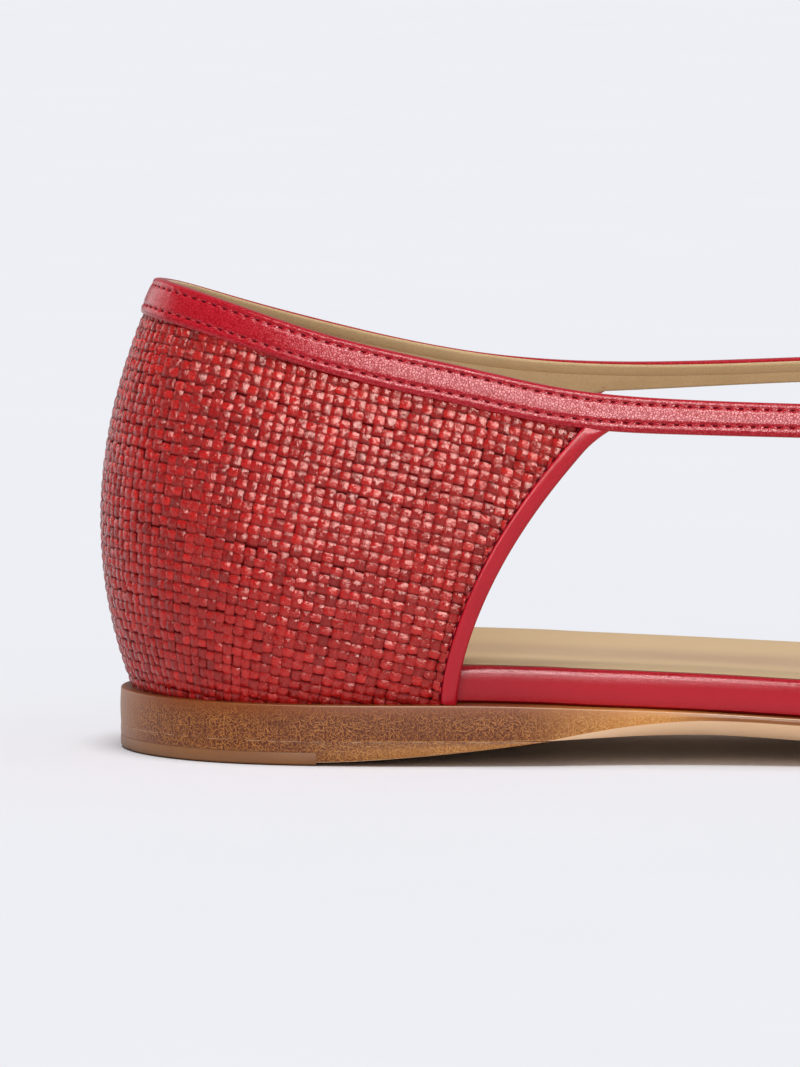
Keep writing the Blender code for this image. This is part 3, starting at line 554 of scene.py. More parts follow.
def wall_surface():
    """The upper's outer face and normals on a grid: each section a cubic Bezier, set out by its length."""
    place = np.arange(LOOP_STEPS) / LOOP_STEPS
    foot_plan = feather_line(place, 0.0)
    outward = np.column_stack([feather_line(place, 1.0) - foot_plan, np.zeros(LOOP_STEPS)])
    foot = np.column_stack([foot_plan, sole_profile(SOLE_TOP, foot_plan[:, 0]) + LASTING_GAP])
    top = closed_spline(LAST_SECTIONS[:, 2:5] * (LAST_LENGTH, HALF_BALL, BACK_HEIGHT), place)
    low_out, low_up, high_out, high_down = closed_spline(LAST_SECTIONS[:, 6:], place).T[:, :, None]
    chord = np.linalg.norm(top - foot, axis=1)[:, None]
    up = np.array([0.0, 0.0, 1.0])
    low = foot + (outward * low_out + up * low_up) * chord
    high = top + (outward * high_out - up * high_down) * chord

    def curve(t):
        first, second = (1 - t) ** 3 * top[:, None], 3 * (1 - t) ** 2 * t * high[:, None]
        return first + second + 3 * (1 - t) * t**2 * low[:, None] + t**3 * foot[:, None]

    t = np.linspace(0, 1, 97)
    pieces = np.linalg.norm(np.diff(curve(t[None, :, None]), axis=1), axis=2)
    reach = np.concatenate([np.zeros((LOOP_STEPS, 1)), np.cumsum(pieces, axis=1)], axis=1)
    target = reach[:, -1:] * np.linspace(0, 1, WALL_STEPS + 1)
    i = np.clip((reach[:, None, :] <= target[:, :, None]).sum(axis=2) - 1, 0, 95)
    before = np.take_along_axis(reach, i, axis=1)
    after = np.take_along_axis(reach, i + 1, axis=1)
    surface = curve(((i + (target - before) / (after - before)) / 96)[:, :, None])
    ahead = np.roll(surface, -1, axis=0) - np.roll(surface, 1, axis=0)
    normal = np.cross(ahead, -np.gradient(surface, axis=1))
    normal /= np.linalg.norm(normal, axis=2)[:, :, None]
    return np.concatenate([surface, normal], axis=2), reach[:, -1]


WALL_GRID, WALL_HEIGHTS = wall_surface()


def wall_height(u):
    """The length of the wall from the topline to the feather line, at the place u round the loop."""
    step = np.mod(u, 1.0) * LOOP_STEPS
    return np.interp(step, np.arange(LOOP_STEPS + 1), np.append(WALL_HEIGHTS, WALL_HEIGHTS[0]))


def band_width(u):
    """The width of the topline band at the place u."""
    return closed_spline(LAST_SECTIONS[:, 5:6], np.ravel(u))[:, 0].reshape(np.shape(u))


def on_wall(u, drop, out):
    """Points a drop down the wall from the topline and out from it, read bilinearly from its grid."""
    u, drop, out = np.broadcast_arrays(u, drop, out)
    step = np.mod(u, 1.0) * LOOP_STEPS
    i = np.floor(step).astype(int) % LOOP_STEPS
    share = (step - np.floor(step))[..., None]
    row = drop / wall_height(u) * WALL_STEPS
    j = np.clip(np.floor(row).astype(int), 0, WALL_STEPS - 1)
    fall = (row - j)[..., None]
    after = (i + 1) % LOOP_STEPS
    upper_row = WALL_GRID[i, j] * (1 - share) + WALL_GRID[after, j] * share
    lower_row = WALL_GRID[i, j + 1] * (1 - share) + WALL_GRID[after, j + 1] * share
    both = upper_row * (1 - fall) + lower_row * fall
    return both[..., :3] + both[..., 3:] * out[..., None]


def share_drop(u, share):
    """The drop of a point at a share of the panel, from 0 at the sole to 1 at the band."""
    return wall_height(u) * (1 - share) + band_width(u) * share


EDGE_SHARES = np.linspace(0, 1, 41)


def panel_edge(foot, lean, inner):
    """Where a panel's edge runs: its x is foot plus lean times the share of the height to a power."""
    search = np.linspace(TOE_PLACE, 1.0 if inner else 0.0, 500)
    x = on_wall(search[None, :], share_drop(search[None, :], EDGE_SHARES[:, None]), 0.0)[:, :, 0]
    target = foot + lean * EDGE_SHARES**EDGE_POWER
    return np.array([np.interp(-goal, -row, search) for goal, row in zip(target, x)])


counter_inner = panel_edge(COUNTER_EDGE_FOOT, COUNTER_EDGE_LEAN, True) - 1
counter_outer = panel_edge(COUNTER_EDGE_FOOT, COUNTER_EDGE_LEAN, False)
toe_outer = panel_edge(TOE_EDGE_FOOT, TOE_EDGE_LEAN, False)
toe_inner = panel_edge(TOE_EDGE_FOOT, TOE_EDGE_LEAN, True)

backing, add, mm = new_material("dark_red_cotton_backing")
weave = add("TexNoise", {"Vector": mm, "Scale": 2.0, "Detail": 2.0})["Fac"]
colour = add("Mix", {0: weave, 6: "#3E0A10", 7: "#5A1018"}, data_type="RGBA")[2]
shader = add("BsdfPrincipled", {"Base Color": colour, "Roughness": 0.9})["BSDF"]
add("OutputMaterial", {"Surface": shader})

# Tan suede: split leather buffed to a short nap, so it is matt, with soft cloudy strokes and a little
# sheen.
suede, add, mm = new_material("tan_suede_lining")
nap = add("TexNoise", {"Vector": mm, "Scale": 4.5, "Detail": 4.0, "Roughness": 0.75})["Fac"]
strokes = add("TexNoise", {"Vector": mm, "Scale": 0.20, "Detail": 3.0, "Distortion": 0.6})["Fac"]
tone = add("Mix", {0: strokes, 6: "#B29062", 7: "#C8A678"}, data_type="RGBA")[2]
hairs = add("MapRange", {"Value": nap, "From Min": 0.35, "From Max": 0.65, "To Max": 0.35})[0]
colour = add("Mix", {0: hairs, 6: tone, 7: "#DEC496"}, data_type="RGBA")[2]
relief = add("Bump", {"Height": nap, "Strength": 0.5, "Distance": 0.00012})["Normal"]
shader = add(
    "BsdfPrincipled",
    {
        "Base Color": colour, "Roughness": 0.92, "Sheen Weight": 0.25, "Sheen Roughness": 0.5,
        "Normal": relief,
    },
)["BSDF"]
add("OutputMaterial", {"Surface": shader})


def spread(start, end, columns):
    """Even places between two edges, for each row of a panel."""
    share = np.linspace(0, 1, columns + 1)
    return start[:, None] * (1 - share) + end[:, None] * share


COUNTER_COLUMNS, TOE_COLUMNS, STRAP_COLUMNS = 90, 110, 30
STRAP_RAISE, STRAP_CLOSENESS = 0.6, 0.68
panel_rows = EDGE_SHARES[::2]
counter_rows = spread(counter_inner[::2], counter_outer[::2], COUNTER_COLUMNS)
toe_rows = spread(toe_outer[::2], toe_inner[::2], TOE_COLUMNS)
outer_strap = np.linspace(counter_rows[-1, -1], toe_rows[-1, 0], STRAP_COLUMNS + 1)[1:-1]
inner_strap = np.linspace(toe_rows[-1, -1], counter_rows[-1, 0] + 1, STRAP_COLUMNS + 1)[1:-1]
BAND_LINE = np.concatenate([counter_rows[-1], outer_strap, toe_rows[-1], inner_strap])
# Rows of the wall behind the band: share of the band's width, distance added, and the backing's place out.
# The upper stitch line pinches it, so the lining swells into a soft roll at the top.
wall_rows = np.array(
    [
        (1, 0.0, -0.85), (1, -0.5, -0.86), (1, -0.95, -0.86), (1, -1.2, -0.85), (1, -1.45, -0.85),
        (1, -1.88, -0.86), (0, 1.64, -0.80), (0, 1.45, -0.58), (0, 1.3, -0.44), (0, 1.12, -0.60),
        (0, 0.85, -0.88), (0, 0.5, -0.96), (0, 0.15, -0.92), (0, -0.12, -0.80),
    ]
)
on_strap = np.zeros(len(BAND_LINE))
on_strap[COUNTER_COLUMNS + 1 : COUNTER_COLUMNS + STRAP_COLUMNS] = 1.0
on_strap[len(BAND_LINE) - STRAP_COLUMNS + 1 :] = 1.0
width = band_width(BAND_LINE)
drop = wall_rows[:, :1] * width + wall_rows[:, 1:2]
# On the straps the lower rows draw up behind the band's hem.
raised = width - STRAP_RAISE - STRAP_CLOSENESS * (width - drop)
drop = np.where(wall_rows[:, :1] * on_strap > 0, raised, drop)
points = [on_wall(BAND_LINE[None], drop, wall_rows[:, 2:])]
index = np.arange(points[0].size // 3).reshape(len(wall_rows), -1)
wall_quads = [grid_quads(np.column_stack([index, index[:, 0]]))]
made = index.size
for rows, start in ((counter_rows, 0), (toe_rows, COUNTER_COLUMNS + STRAP_COLUMNS)):
    panel = rows[:-1]
    points.append(on_wall(panel, share_drop(panel, panel_rows[:-1, None]), -BACKING_DEPTH))
    numbers = made + np.arange(panel.size).reshape(panel.shape)
    wall_quads.append(grid_quads(np.vstack([numbers, index[0, start : start + rows.shape[1]]])))
    made += panel.size
points = np.concatenate([p.reshape(-1, 3) for p in points])
quads = np.concatenate(wall_quads)
wall = add_piece("upper_backing_and_lining", points, quads, [backing, suede], ["upper"])
lining = wall.modifiers.new("suede lining", "SOLIDIFY")
lining.thickness = (LINING_DEPTH - BACKING_DEPTH) / 1000
lining.offset = -1.0
lining.material_offset = 1
lining.material_offset_rim = 1


# Counter weave. Flat raffia strands in plain weave: wide warps that climb from the sole to the topline, and
# narrower wefts that run round the heel. Rows lie level at the back and fall away towards the sides.
WARP_PITCH = 1.58
WEFT_PITCH = 1.46
ROW_SLOPE = 0.117
SLOPE_PLACE = 24.0
SLOPE_REACH = 14.0
LEAN_HEIGHT = 24.0
WEAVE_RISE = 0.13
WEAVE_MIDDLE = -0.22
EDGE_MARGIN = 0.0010
BAND_MARGIN = 1.6
chance = np.random.default_rng(11)

# Dyed raffia: split palm leaf, glossy along its fibres. Each strand keeps its own red, with fine streaks
# along it, crinkled facets that catch the light pinkish, and dull parts where it tucks under its
# neighbours, which are painted dark as shade, as are its edges.
raffia, add, mm = new_material("red_dyed_raffia")
strand = add("UVMap", {}, uv_map="strand")["UV"]
tone = add("Attribute", {}, attribute_name="tone")["Fac"]
tuck_shade = add("Attribute", {}, attribute_name="tuck_shade")["Fac"]
streak_place = add("Mapping", {"Vector": strand, "Scale": (0.45, 11.0, 1.0)})["Vector"]
streak = add("TexNoise", {"Vector": streak_place, "Scale": 1.0, "Detail": 3.0, "Roughness": 0.6})["Fac"]
crinkle_place = add("Mapping", {"Vector": strand, "Scale": (1.0, 1.9, 1.0)})["Vector"]
crinkle = add("TexNoise", {"Vector": crinkle_place, "Scale": 1.0, "Detail": 2.0, "Roughness": 0.5})["Fac"]
streaked = add(
    "MapRange", {"Value": streak, "From Min": 0.32, "From Max": 0.68, "To Min": -0.30, "To Max": 0.30}
)[0]
shade = add("Math", {0: tone, 1: streaked}, operation="ADD", use_clamp=True)[0]
dyed = add("Mix", {0: shade, 6: "#7A0608", 7: "#C01C1A"}, data_type="RGBA")[2]
# Painted shade: dark red where a strand tucks under its neighbours and along its edges.
colour = add("Mix", {0: tuck_shade, 6: dyed, 7: "#3C0608"}, data_type="RGBA")[2]
gloss = add(
    "MapRange", {"Value": streak, "From Min": 0.3, "From Max": 0.7, "To Min": 0.17, "To Max": 0.10}
)[0]
matt = add("Math", {0: tuck_shade, 1: 0.8}, operation="MULTIPLY")[0]
gloss = add("Math", {0: gloss, 1: matt}, operation="MAXIMUM")[0]
sheen = add("MapRange", {"Value": tuck_shade, "From Max": 0.8, "To Min": 0.5, "To Max": 0.0})[0]
crease_place = add(
    "Mapping", {"Vector": strand, "Rotation": (0.0, 0.0, 0.8), "Scale": (1.1, 3.6, 1.0)}
)["Vector"]
crease = add("TexNoise", {"Vector": crease_place, "Scale": 1.0, "Detail": 1.0})["Fac"]
fold = add("Math", {0: crease, 1: 0.5}, operation="SUBTRACT")[0]
fold = add("Math", {0: fold}, operation="ABSOLUTE")[0]
fold = add("MapRange", {"Value": fold, "From Max": 0.12, "To Min": -0.02, "To Max": 0.0})[0]
leaf = add("TexVoronoi", {"Vector": strand, "Scale": 1.5}, voronoi_dimensions="2D")
from_middle = add("VectorMath", {0: strand, 1: leaf["Position"]}, operation="SUBTRACT")["Vector"]
slant = add("VectorMath", {0: leaf["Color"], 1: (0.5, 0.5, 0.5)}, operation="SUBTRACT")["Vector"]
facet = add("VectorMath", {0: from_middle, 1: slant}, operation="DOT_PRODUCT")["Value"]
height = add("Math", {0: facet, 1: 0.40, 2: fold}, operation="MULTIPLY_ADD")[0]
height = add("Math", {0: crinkle, 1: 0.07, 2: height}, operation="MULTIPLY_ADD")[0]
relief = add("Bump", {"Height": height, "Strength": 1.0, "Distance": 0.001})["Normal"]
shader = add(
    "BsdfPrincipled",
    {
        "Base Color": colour, "Roughness": gloss, "IOR": 1.5, "Specular IOR Level": sheen,
        "Specular Tint": "#FFE2D6", "Normal": relief,
    },
)["BSDF"]
add("OutputMaterial", {"Surface": shader})


def strand_set(
    name, place, inside, numbers, span, own_pitch, cross_pitch,
    width, crown, sink, around, along, over, flip,
):
    """One set of strands as closed flat tubes: own place times pitch, waved over and under by a cosine.

    place turns (distance along, own distance) into (u, drop); inside says where the panel is. The tube's
    top is crown times one less the 2.6th power of the share of its half width. Wefts (over) bulge where
    they lie on top. Place and tone drift by slow sines along each strand, and each crossing has its own
    tone, tilt, lean and width.
    """
    own = (numbers + 0.5) * own_pitch
    fine = np.arange(span[0], span[1], cross_pitch / 8)
    u, drop = place(fine[None, :], own[:, None])
    within = np.pad(inside(u, drop), ((0, 0), (1, 1))).astype(int)
    first_row, first = np.nonzero(np.diff(within, axis=1) == 1)
    last_row, last = np.nonzero(np.diff(within, axis=1) == -1)
    long_enough = last - first > 6
    first, last, run_strand = first[long_enough], last[long_enough] - 1, first_row[long_enough]
    counts = np.maximum(((last - first) / 8 * along).astype(int), 3) + 1
    run = np.repeat(np.arange(len(counts)), counts)
    ring = np.arange(counts.sum()) - np.repeat(np.cumsum(counts) - counts, counts)
    share = ring / (counts[run] - 1)
    t = fine[first][run] * (1 - share) + fine[last][run] * share
    k = run_strand[run]
    number = numbers[k]

    phase = chance.uniform(0, 2 * math.pi, (4, len(numbers)))[:, k]
    fullness = chance.uniform(0.93, 1.06, len(numbers))[k]
    shift = chance.normal(0, 0.06, len(numbers))[k] * own_pitch
    strand_tone = chance.uniform(0.30, 0.70, len(numbers))[k]
    cell = np.floor((t - span[0]) / cross_pitch + (span[0] / cross_pitch) % 1).astype(int)
    cell_chances = chance.normal(0, 1, (4, len(numbers), cell.max() + 1))
    cell_tone, cell_tilt, cell_lean, cell_width = cell_chances[:, k, cell]
    drift = np.sin(t / 7.3 + phase[0]) + 0.6 * np.sin(t / 2.9 + phase[1])
    half = 0.5 * width * own_pitch * fullness * (1 + 0.05 * np.clip(cell_width, -1.5, 1.5))
    centre = own[k] + shift + 0.045 * own_pitch * drift
    wave = np.cos(math.pi * (t / cross_pitch - 0.5) + math.pi * number + (0 if over else math.pi))
    wave = wave + (-0.1 if over else 0.08)
    if over:
        half = half * (1 + 0.24 * np.clip(wave, -0.4, 0.9))
    lift = WEAVE_RISE * np.tanh(1.5 * wave) / math.tanh(1.5)
    within_cell = t / cross_pitch - np.floor(t / cross_pitch) - 0.5

    side = np.append(np.sin(np.linspace(-math.pi / 2, math.pi / 2, around)), 0.0)
    arch = np.append(crown * (1 - np.abs(side[:-1]) ** 2.6) - sink, -sink - 0.05)
    swell = 0.8 + 0.2 * np.clip(wave, 0, 1)
    tilt = 0.045 * np.clip(cell_tilt, -1.6, 1.6)[:, None] * side
    lean = 0.05 * np.clip(cell_lean, -1.6, 1.6) * within_cell * np.clip(wave, 0, 1)
    out = WEAVE_MIDDLE + (lift + lean)[:, None] + arch * swell[:, None] + tilt
    across = centre[:, None] + half[:, None] * side
    u, drop = place(np.broadcast_to(t[:, None], across.shape), across)
    points = on_wall(u, drop, out).reshape(-1, 3)

    ring_size = around + 1
    index = np.arange(len(points)).reshape(-1, ring_size)
    index = np.column_stack([index, index[:, 0]])
    joined = np.flatnonzero(run[1:] == run[:-1])
    this, after = index[joined], index[joined + 1]
    quads = np.stack([this[:, :-1], after[:, :-1], after[:, 1:], this[:, 1:]], -1).reshape(-1, 4)
    starts = index[np.cumsum(counts) - counts, :-1]
    finishes = index[np.cumsum(counts) - 1, :-1]
    caps = np.concatenate([starts, finishes[:, ::-1]])
    if flip:
        quads, caps = quads[:, ::-1], caps[:, ::-1]
    tone = strand_tone + 0.10 * np.sin(t / 3.1 + phase[1]) + 0.10 * cell_tone + (0.15 if over else -0.13)
    tuck_shade_start, edge_shade = (-0.05, 0.6) if over else (0.2, 0.2)
    # Painted shade where a strand dives under its neighbours, and along its edges.
    tuck_shade = np.clip((tuck_shade_start - wave[:, None]) / 0.4, 0, 1) + edge_shade * np.abs(side) ** 6
    values = {"tone": np.repeat(tone, ring_size), "tuck_shade": np.clip(tuck_shade, 0, 1).ravel()}
    uv = np.stack([np.broadcast_to(t[:, None], across.shape), across + 37.0 * number[:, None]], -1)
    uv = uv.reshape(-1, 2)
    add_piece(name, points, quads, [raffia], ["upper"], caps.tolist(), values, uv, False)


counter_places = np.linspace(-0.3, 0.3, 900)
girth_line = on_wall(counter_places, 0.5 * wall_height(counter_places), 0.0)
girth = run_length(girth_line)
girth -= np.interp(0.0, counter_places, girth)


def row_fall(s):
    """How far a row has fallen at the girth s: flat at the heel back, then an even slope (log of cosh)."""
    reach = (np.abs(s) - SLOPE_PLACE) / SLOPE_REACH
    start = math.log(math.cosh(SLOPE_PLACE / SLOPE_REACH))
    return ROW_SLOPE * (np.abs(s) + SLOPE_REACH * (np.log(np.cosh(reach)) - start))


def row_slope(s):
    """The slope of a row at the girth s, which is also how far the warps lean towards the sides."""
    return np.sign(s) * ROW_SLOPE * (1 + np.tanh((np.abs(s) - SLOPE_PLACE) / SLOPE_REACH))


def counter_lattice(across, up):
    """Weave distances to (u, drop): height is up less the row's fall, girth is across plus the lean."""
    s = across
    for _ in range(4):
        h = up - row_fall(s)
        s = across + 0.85 * row_slope(across) * (h - LEAN_HEIGHT)
    u = np.interp(s, girth, counter_places)
    return u, wall_height(u) - h


def in_panel(u, drop, first_edge, last_edge, below):
    """Whether a point lies on a panel, reaching a little way under its band and bindings and the sole."""
    h = wall_height(u) - drop
    share = np.clip(h / (wall_height(u) - band_width(u)), 0, 1)
    left = np.interp(share, EDGE_SHARES, first_edge) + EDGE_MARGIN
    right = np.interp(share, EDGE_SHARES, last_edge) - EDGE_MARGIN
    return (h > -below) & (drop > BAND_MARGIN) & (u > left) & (u < right)


def in_counter(u, drop):
    """Whether a point lies on the counter."""
    return in_panel(u, drop, counter_inner, counter_outer, 0.9)


strand_set(
    "counter_wefts", counter_lattice, in_counter, np.arange(-2, 66), (-95, 95),
    WEFT_PITCH, WARP_PITCH, 0.86, 0.18, 0.10, 5, 5, True, False,
)
strand_set(
    "counter_warps", lambda run, own: counter_lattice(own, run), in_counter, np.arange(-62, 62), (-3, 96),
    WARP_PITCH, WEFT_PITCH, 1.10, 0.30, 0.17, 6, 4, False, True,
)


# Toe weave. The same raffia cloth, cut on the straight: warps run from the throat over the vamp to the toe,
# wefts lie across the foot from one side opening round to the other.
PLANE_TILT = 0.35
toe_stations = np.linspace(100.0, 243.5, 280)
toe_reaches = np.arange(0.0, 96.0, 0.5)
wall_shares = np.append(np.linspace(0, 1, WALL_STEPS + 1), 1.02)
tip_line = on_wall(TOE_PLACE, wall_shares * wall_height(TOE_PLACE), 0.0)
tip_stations = tip_line[:, 0] - PLANE_TILT * tip_line[:, 2]
tip_lengths = run_length(tip_line)


def toe_sections(far_end):
    """Where each tilted plane cuts the wall from topline to sole, on the side that ends at far_end."""
    places = np.linspace(far_end, TOE_PLACE, 600)
    grid = on_wall(places[:, None], wall_shares * wall_height(places)[:, None], 0.0)
    stations = grid[:, :, 0] - PLANE_TILT * grid[:, :, 2]
    cuts = [np.interp(toe_stations, stations[:, j], places) for j in range(len(wall_shares))]
    u = np.stack(cuts, axis=1)
    return u, on_wall(u, wall_shares * wall_height(u), 0.0)


def toe_side_table(u, points, opening):
    """For each plane, u and the wall's share at even distances from the middle line of the vamp."""
    table = np.empty((len(toe_stations), len(toe_reaches), 2))
    for k, station in enumerate(toe_stations):
        above = np.flatnonzero(tip_stations >= station)
        begin = min(above[0], WALL_STEPS) if above.size else WALL_STEPS
        reach = run_length(points[k, begin:])
        if station < tip_stations[0]:
            reach = reach + opening[k]
            table[k, :, 0] = np.interp(toe_reaches, reach, u[k])
            table[k, :, 1] = np.interp(toe_reaches, reach, wall_shares)
            continue
        middle_share = np.interp(station, tip_stations, wall_shares)
        middle = on_wall(TOE_PLACE, middle_share * wall_height(TOE_PLACE), 0.0)
        reach = np.append(0.0, reach + np.linalg.norm(points[k, begin] - middle) + 1e-6)
        table[k, :, 0] = np.interp(toe_reaches, reach, np.append(TOE_PLACE, u[k, begin:]))
        table[k, :, 1] = np.interp(toe_reaches, reach, np.append(middle_share, wall_shares[begin:]))
    return table


outer_u, outer_points = toe_sections(0.12)
inner_u, inner_points = toe_sections(0.88)
opening = 0.53 * np.linalg.norm(outer_points[:, 0] - inner_points[:, 0], axis=1)
outer_table = toe_side_table(outer_u, outer_points, opening)
toe_tables = np.stack([outer_table, toe_side_table(inner_u, inner_points, opening)])
station_rate = 1.055
vamp_lengths = np.append((toe_stations[0] - tip_stations[0]) / station_rate, tip_lengths)
vamp_stations = np.append(toe_stations[0], tip_stations)


def toe_lattice(along, across):
    """Weave distances to (u, drop): along the vamp's middle line, then across it on tilted planes."""
    along, across = np.broadcast_arrays(along, across)
    station = np.interp(along, vamp_lengths, vamp_stations)
    row = (station - toe_stations[0]) / (toe_stations[1] - toe_stations[0])
    row = np.clip(row, 0, len(toe_stations) - 1.001)
    col = np.clip(np.abs(across) / 0.5, 0, len(toe_reaches) - 1.001)
    i, j = row.astype(int), col.astype(int)
    a, b = (row - i)[..., None], (col - j)[..., None]
    s = (across > 0).astype(int)
    near = toe_tables[s, i, j] * (1 - b) + toe_tables[s, i, j + 1] * b
    far = toe_tables[s, i + 1, j] * (1 - b) + toe_tables[s, i + 1, j + 1] * b
    found = near * (1 - a) + far * a
    return found[..., 0], found[..., 1] * wall_height(found[..., 0])


def in_toe(u, drop):
    """Whether a point lies on the toe panel."""
    return in_panel(u, drop, toe_outer, toe_inner, 0.7)


strand_set(
    "toe_wefts", lambda run, own: toe_lattice(own, run), in_toe, np.arange(-44, 62), (-95, 95),
    WEFT_PITCH, WARP_PITCH, 0.86, 0.18, 0.10, 3, 4, True, True,
)
strand_set(
    "toe_warps", toe_lattice, in_toe, np.arange(-60, 60), (-64, 92),
    WARP_PITCH, WEFT_PITCH, 1.10, 0.30, 0.17, 4, 3.8, False, False,
)


# Bindings. Strips of the red leather folded over the curved free edges of the counter and the toe panel,
# glued and sewn through close to the raffia, so each shows a rolled edge and a row of small stitches.
BINDING_REACH = 0.9
binding_section = np.array(
    [
        (2.20, -0.10), (2.26, 0.14), (2.20, 0.38), (2.06, 0.54), (1.86, 0.62), (1.60, 0.59), (1.10, 0.49),
        (0.60, 0.38), (0.25, 0.24), (0.05, -0.02), (0.00, -0.35), (0.04, -0.80), (0.25, -1.15),
        (0.70, -1.20), (0.90, -0.70), (1.10, -0.30),
    ]
)


def binding_path(edge):
    """The edge as a dense line from the sole to just under the band: places, drops, and slanted reach."""
    share = np.linspace(0, 1.03, 125)
    beyond = np.maximum(share - 1, 0) * (edge[-1] - edge[-2]) / (EDGE_SHARES[-1] - EDGE_SHARES[-2])
    u = np.interp(share, EDGE_SHARES, edge) + beyond
    drop = share_drop(u, share) + 0.25 * (share < 0.004)
    ahead = on_wall(u + 5e-4, drop, 0.0) - on_wall(u - 5e-4, drop, 0.0)
    reach = np.linalg.norm(ahead, axis=1)
    run = np.gradient(on_wall(u, drop, 0.0), axis=0)
    normal = on_wall(u, drop, 1.0) - on_wall(u, drop, 0.0)
    sideways = np.cross(normal, run)
    sideways /= np.linalg.norm(sideways, axis=1)[:, None]
    slant = np.abs((sideways * ahead).sum(axis=1)) / reach
    return u, drop, reach * slant / 1e-3


def swept_ring(points, closed):
    """Quads over rings of section points along a path, and the faces that cap its ends."""
    index = np.arange(points.shape[0] * points.shape[1]).reshape(points.shape[:2])
    ends = [] if closed else [index[0].tolist(), index[-1, ::-1].tolist()]
    index = np.column_stack([index, index[:, 0]])
    if closed:
        index = np.vstack([index, index[:1]])
    return grid_quads(index, True), ends


def add_binding(name, edge, inward, node):
    """The binding's section carried along a panel's edge; its top end dives under the band."""
    u, drop, reach = binding_path(edge)
    section = binding_section if inward > 0 else binding_section[::-1]
    rise = np.linspace(0, 1, len(u))[:, None]
    flare = 1.0 * np.clip((rise - 0.89) / 0.10, 0, 1) ** 2 * np.clip(1 - section[:, 0] / 1.6, 0, 1)
    place = u[:, None] + inward * (section[:, 0] - BINDING_REACH - flare) / reach[:, None]
    dive = 0.55 * np.clip((rise - 0.962) / 0.038, 0, 1)
    points = on_wall(place, np.minimum(drop[:, None], wall_height(place) + 0.25), section[:, 1] - dive)
    quads, ends = swept_ring(points, False)
    points = points.reshape(-1, 3)
    stretched = {"level": np.ones(len(points))}
    add_piece(name, points, quads, [red_leather], [node], ends, stretched)


add_binding("counter_binding_outer_leather", counter_outer, -1, "counter_binding_outer")
add_binding("counter_binding_inner_leather", counter_inner, 1, "counter_binding_inner")
add_binding("toe_binding_outer_leather", toe_outer, 1, "toe_binding_outer")
add_binding("toe_binding_inner_leather", toe_inner, -1, "toe_binding_inner")


# Topline band. A strip of red leather folded over the top edge right round the shoe, sewn through near both
# of its edges. Between the panels it is doubled and makes the two straps across the side openings.
STITCH_PITCH = 1.75
UPPER_ROW = 1.0
LOWER_ROW = 1.2
STITCH_PULL = 0.13
CORNER_SWELL = 0.26
CORNER_REACH = 2.8
band_places = np.arange(1400) / 1400
band_mid = on_wall(band_places, 0.5 * band_width(band_places), 0.0)
band_girth = run_length(band_mid)
# Each point of the band's section: share of the band's width, distance added to it, distance out, and how
# far the stitches pull it in.
band_section = np.array(
    [
        (1, -0.20, -0.02, 0), (1, -0.01, 0.08, 0), (1, 0.02, 0.22, 0), (1, -0.12, 0.38, 0),
        (1, -0.42, 0.50, 0.0), (1, -0.76, 0.57, 0.1), (1, -0.98, 0.52, 0.5), (1, -1.12, 0.44, 1.0),
        (1, -1.26, 0.44, 1.0), (1, -1.40, 0.50, 0.6), (1, -1.56, 0.555, 0.2), (1, -1.78, 0.58, 0),
        (0.5, 0.20, 0.59, 0), (0.5, -0.30, 0.59, 0), (0, 1.70, 0.58, 0), (0, 1.42, 0.555, 0.2),
        (0, 1.22, 0.50, 0.6), (0, 1.07, 0.44, 1.0), (0, 0.93, 0.44, 1.0), (0, 0.79, 0.48, 0.7),
        (0, 0.56, 0.55, 0.1), (0, 0.26, 0.50, 0), (0, 0.05, 0.30, 0), (0, -0.10, 0.05, 0),
        (0, -0.24, -0.35, 0), (0, -0.36, -0.75, 0), (0, -0.34, -0.98, 0), (0, -0.16, -1.06, 0),
        (0, 0.10, -1.00, 0), (0, 0.25, -0.60, 0), (0, 1.30, -0.20, 0),
    ]
)
stitch_turn = 2 * math.pi * (band_girth / STITCH_PITCH - 0.5)
pull = STITCH_PULL * (0.5 + 0.5 * np.cos(stitch_turn)) - 0.03
width = band_width(band_places)
drop = band_section[:, 0] * width[:, None] + band_section[:, 1]
out = band_section[:, 2] - band_section[:, 3] * pull[:, None]
# Where a panel ends under the band, the leather swells over its binding; on the straps its hem turns
# further under.
corners = np.array([counter_outer[-1], toe_outer[-1], toe_inner[-1], counter_inner[-1] + 1])
corner_girth = np.interp(corners, band_places, band_girth)
swelling = np.exp(-(((band_girth[:, None] - corner_girth) / CORNER_REACH) ** 2)).sum(axis=1)
swollen = CORNER_SWELL * swelling[:, None] * np.clip(drop / width[:, None] - 0.35, 0, 1)
out += swollen * (band_section[:, 2] > 0.2)
strap = ((band_places > corners[0]) & (band_places < corners[1])) | (
    (band_places > corners[2]) & (band_places < corners[3])
)
out[strap, :2] = (-0.80, -0.45)
points = on_wall(band_places[:, None], drop, out)
quads, ends = swept_ring(points, True)
points = points.reshape(-1, 3)
add_piece("topline_band_leather", points, quads, [red_leather], ["topline_band"], ends)
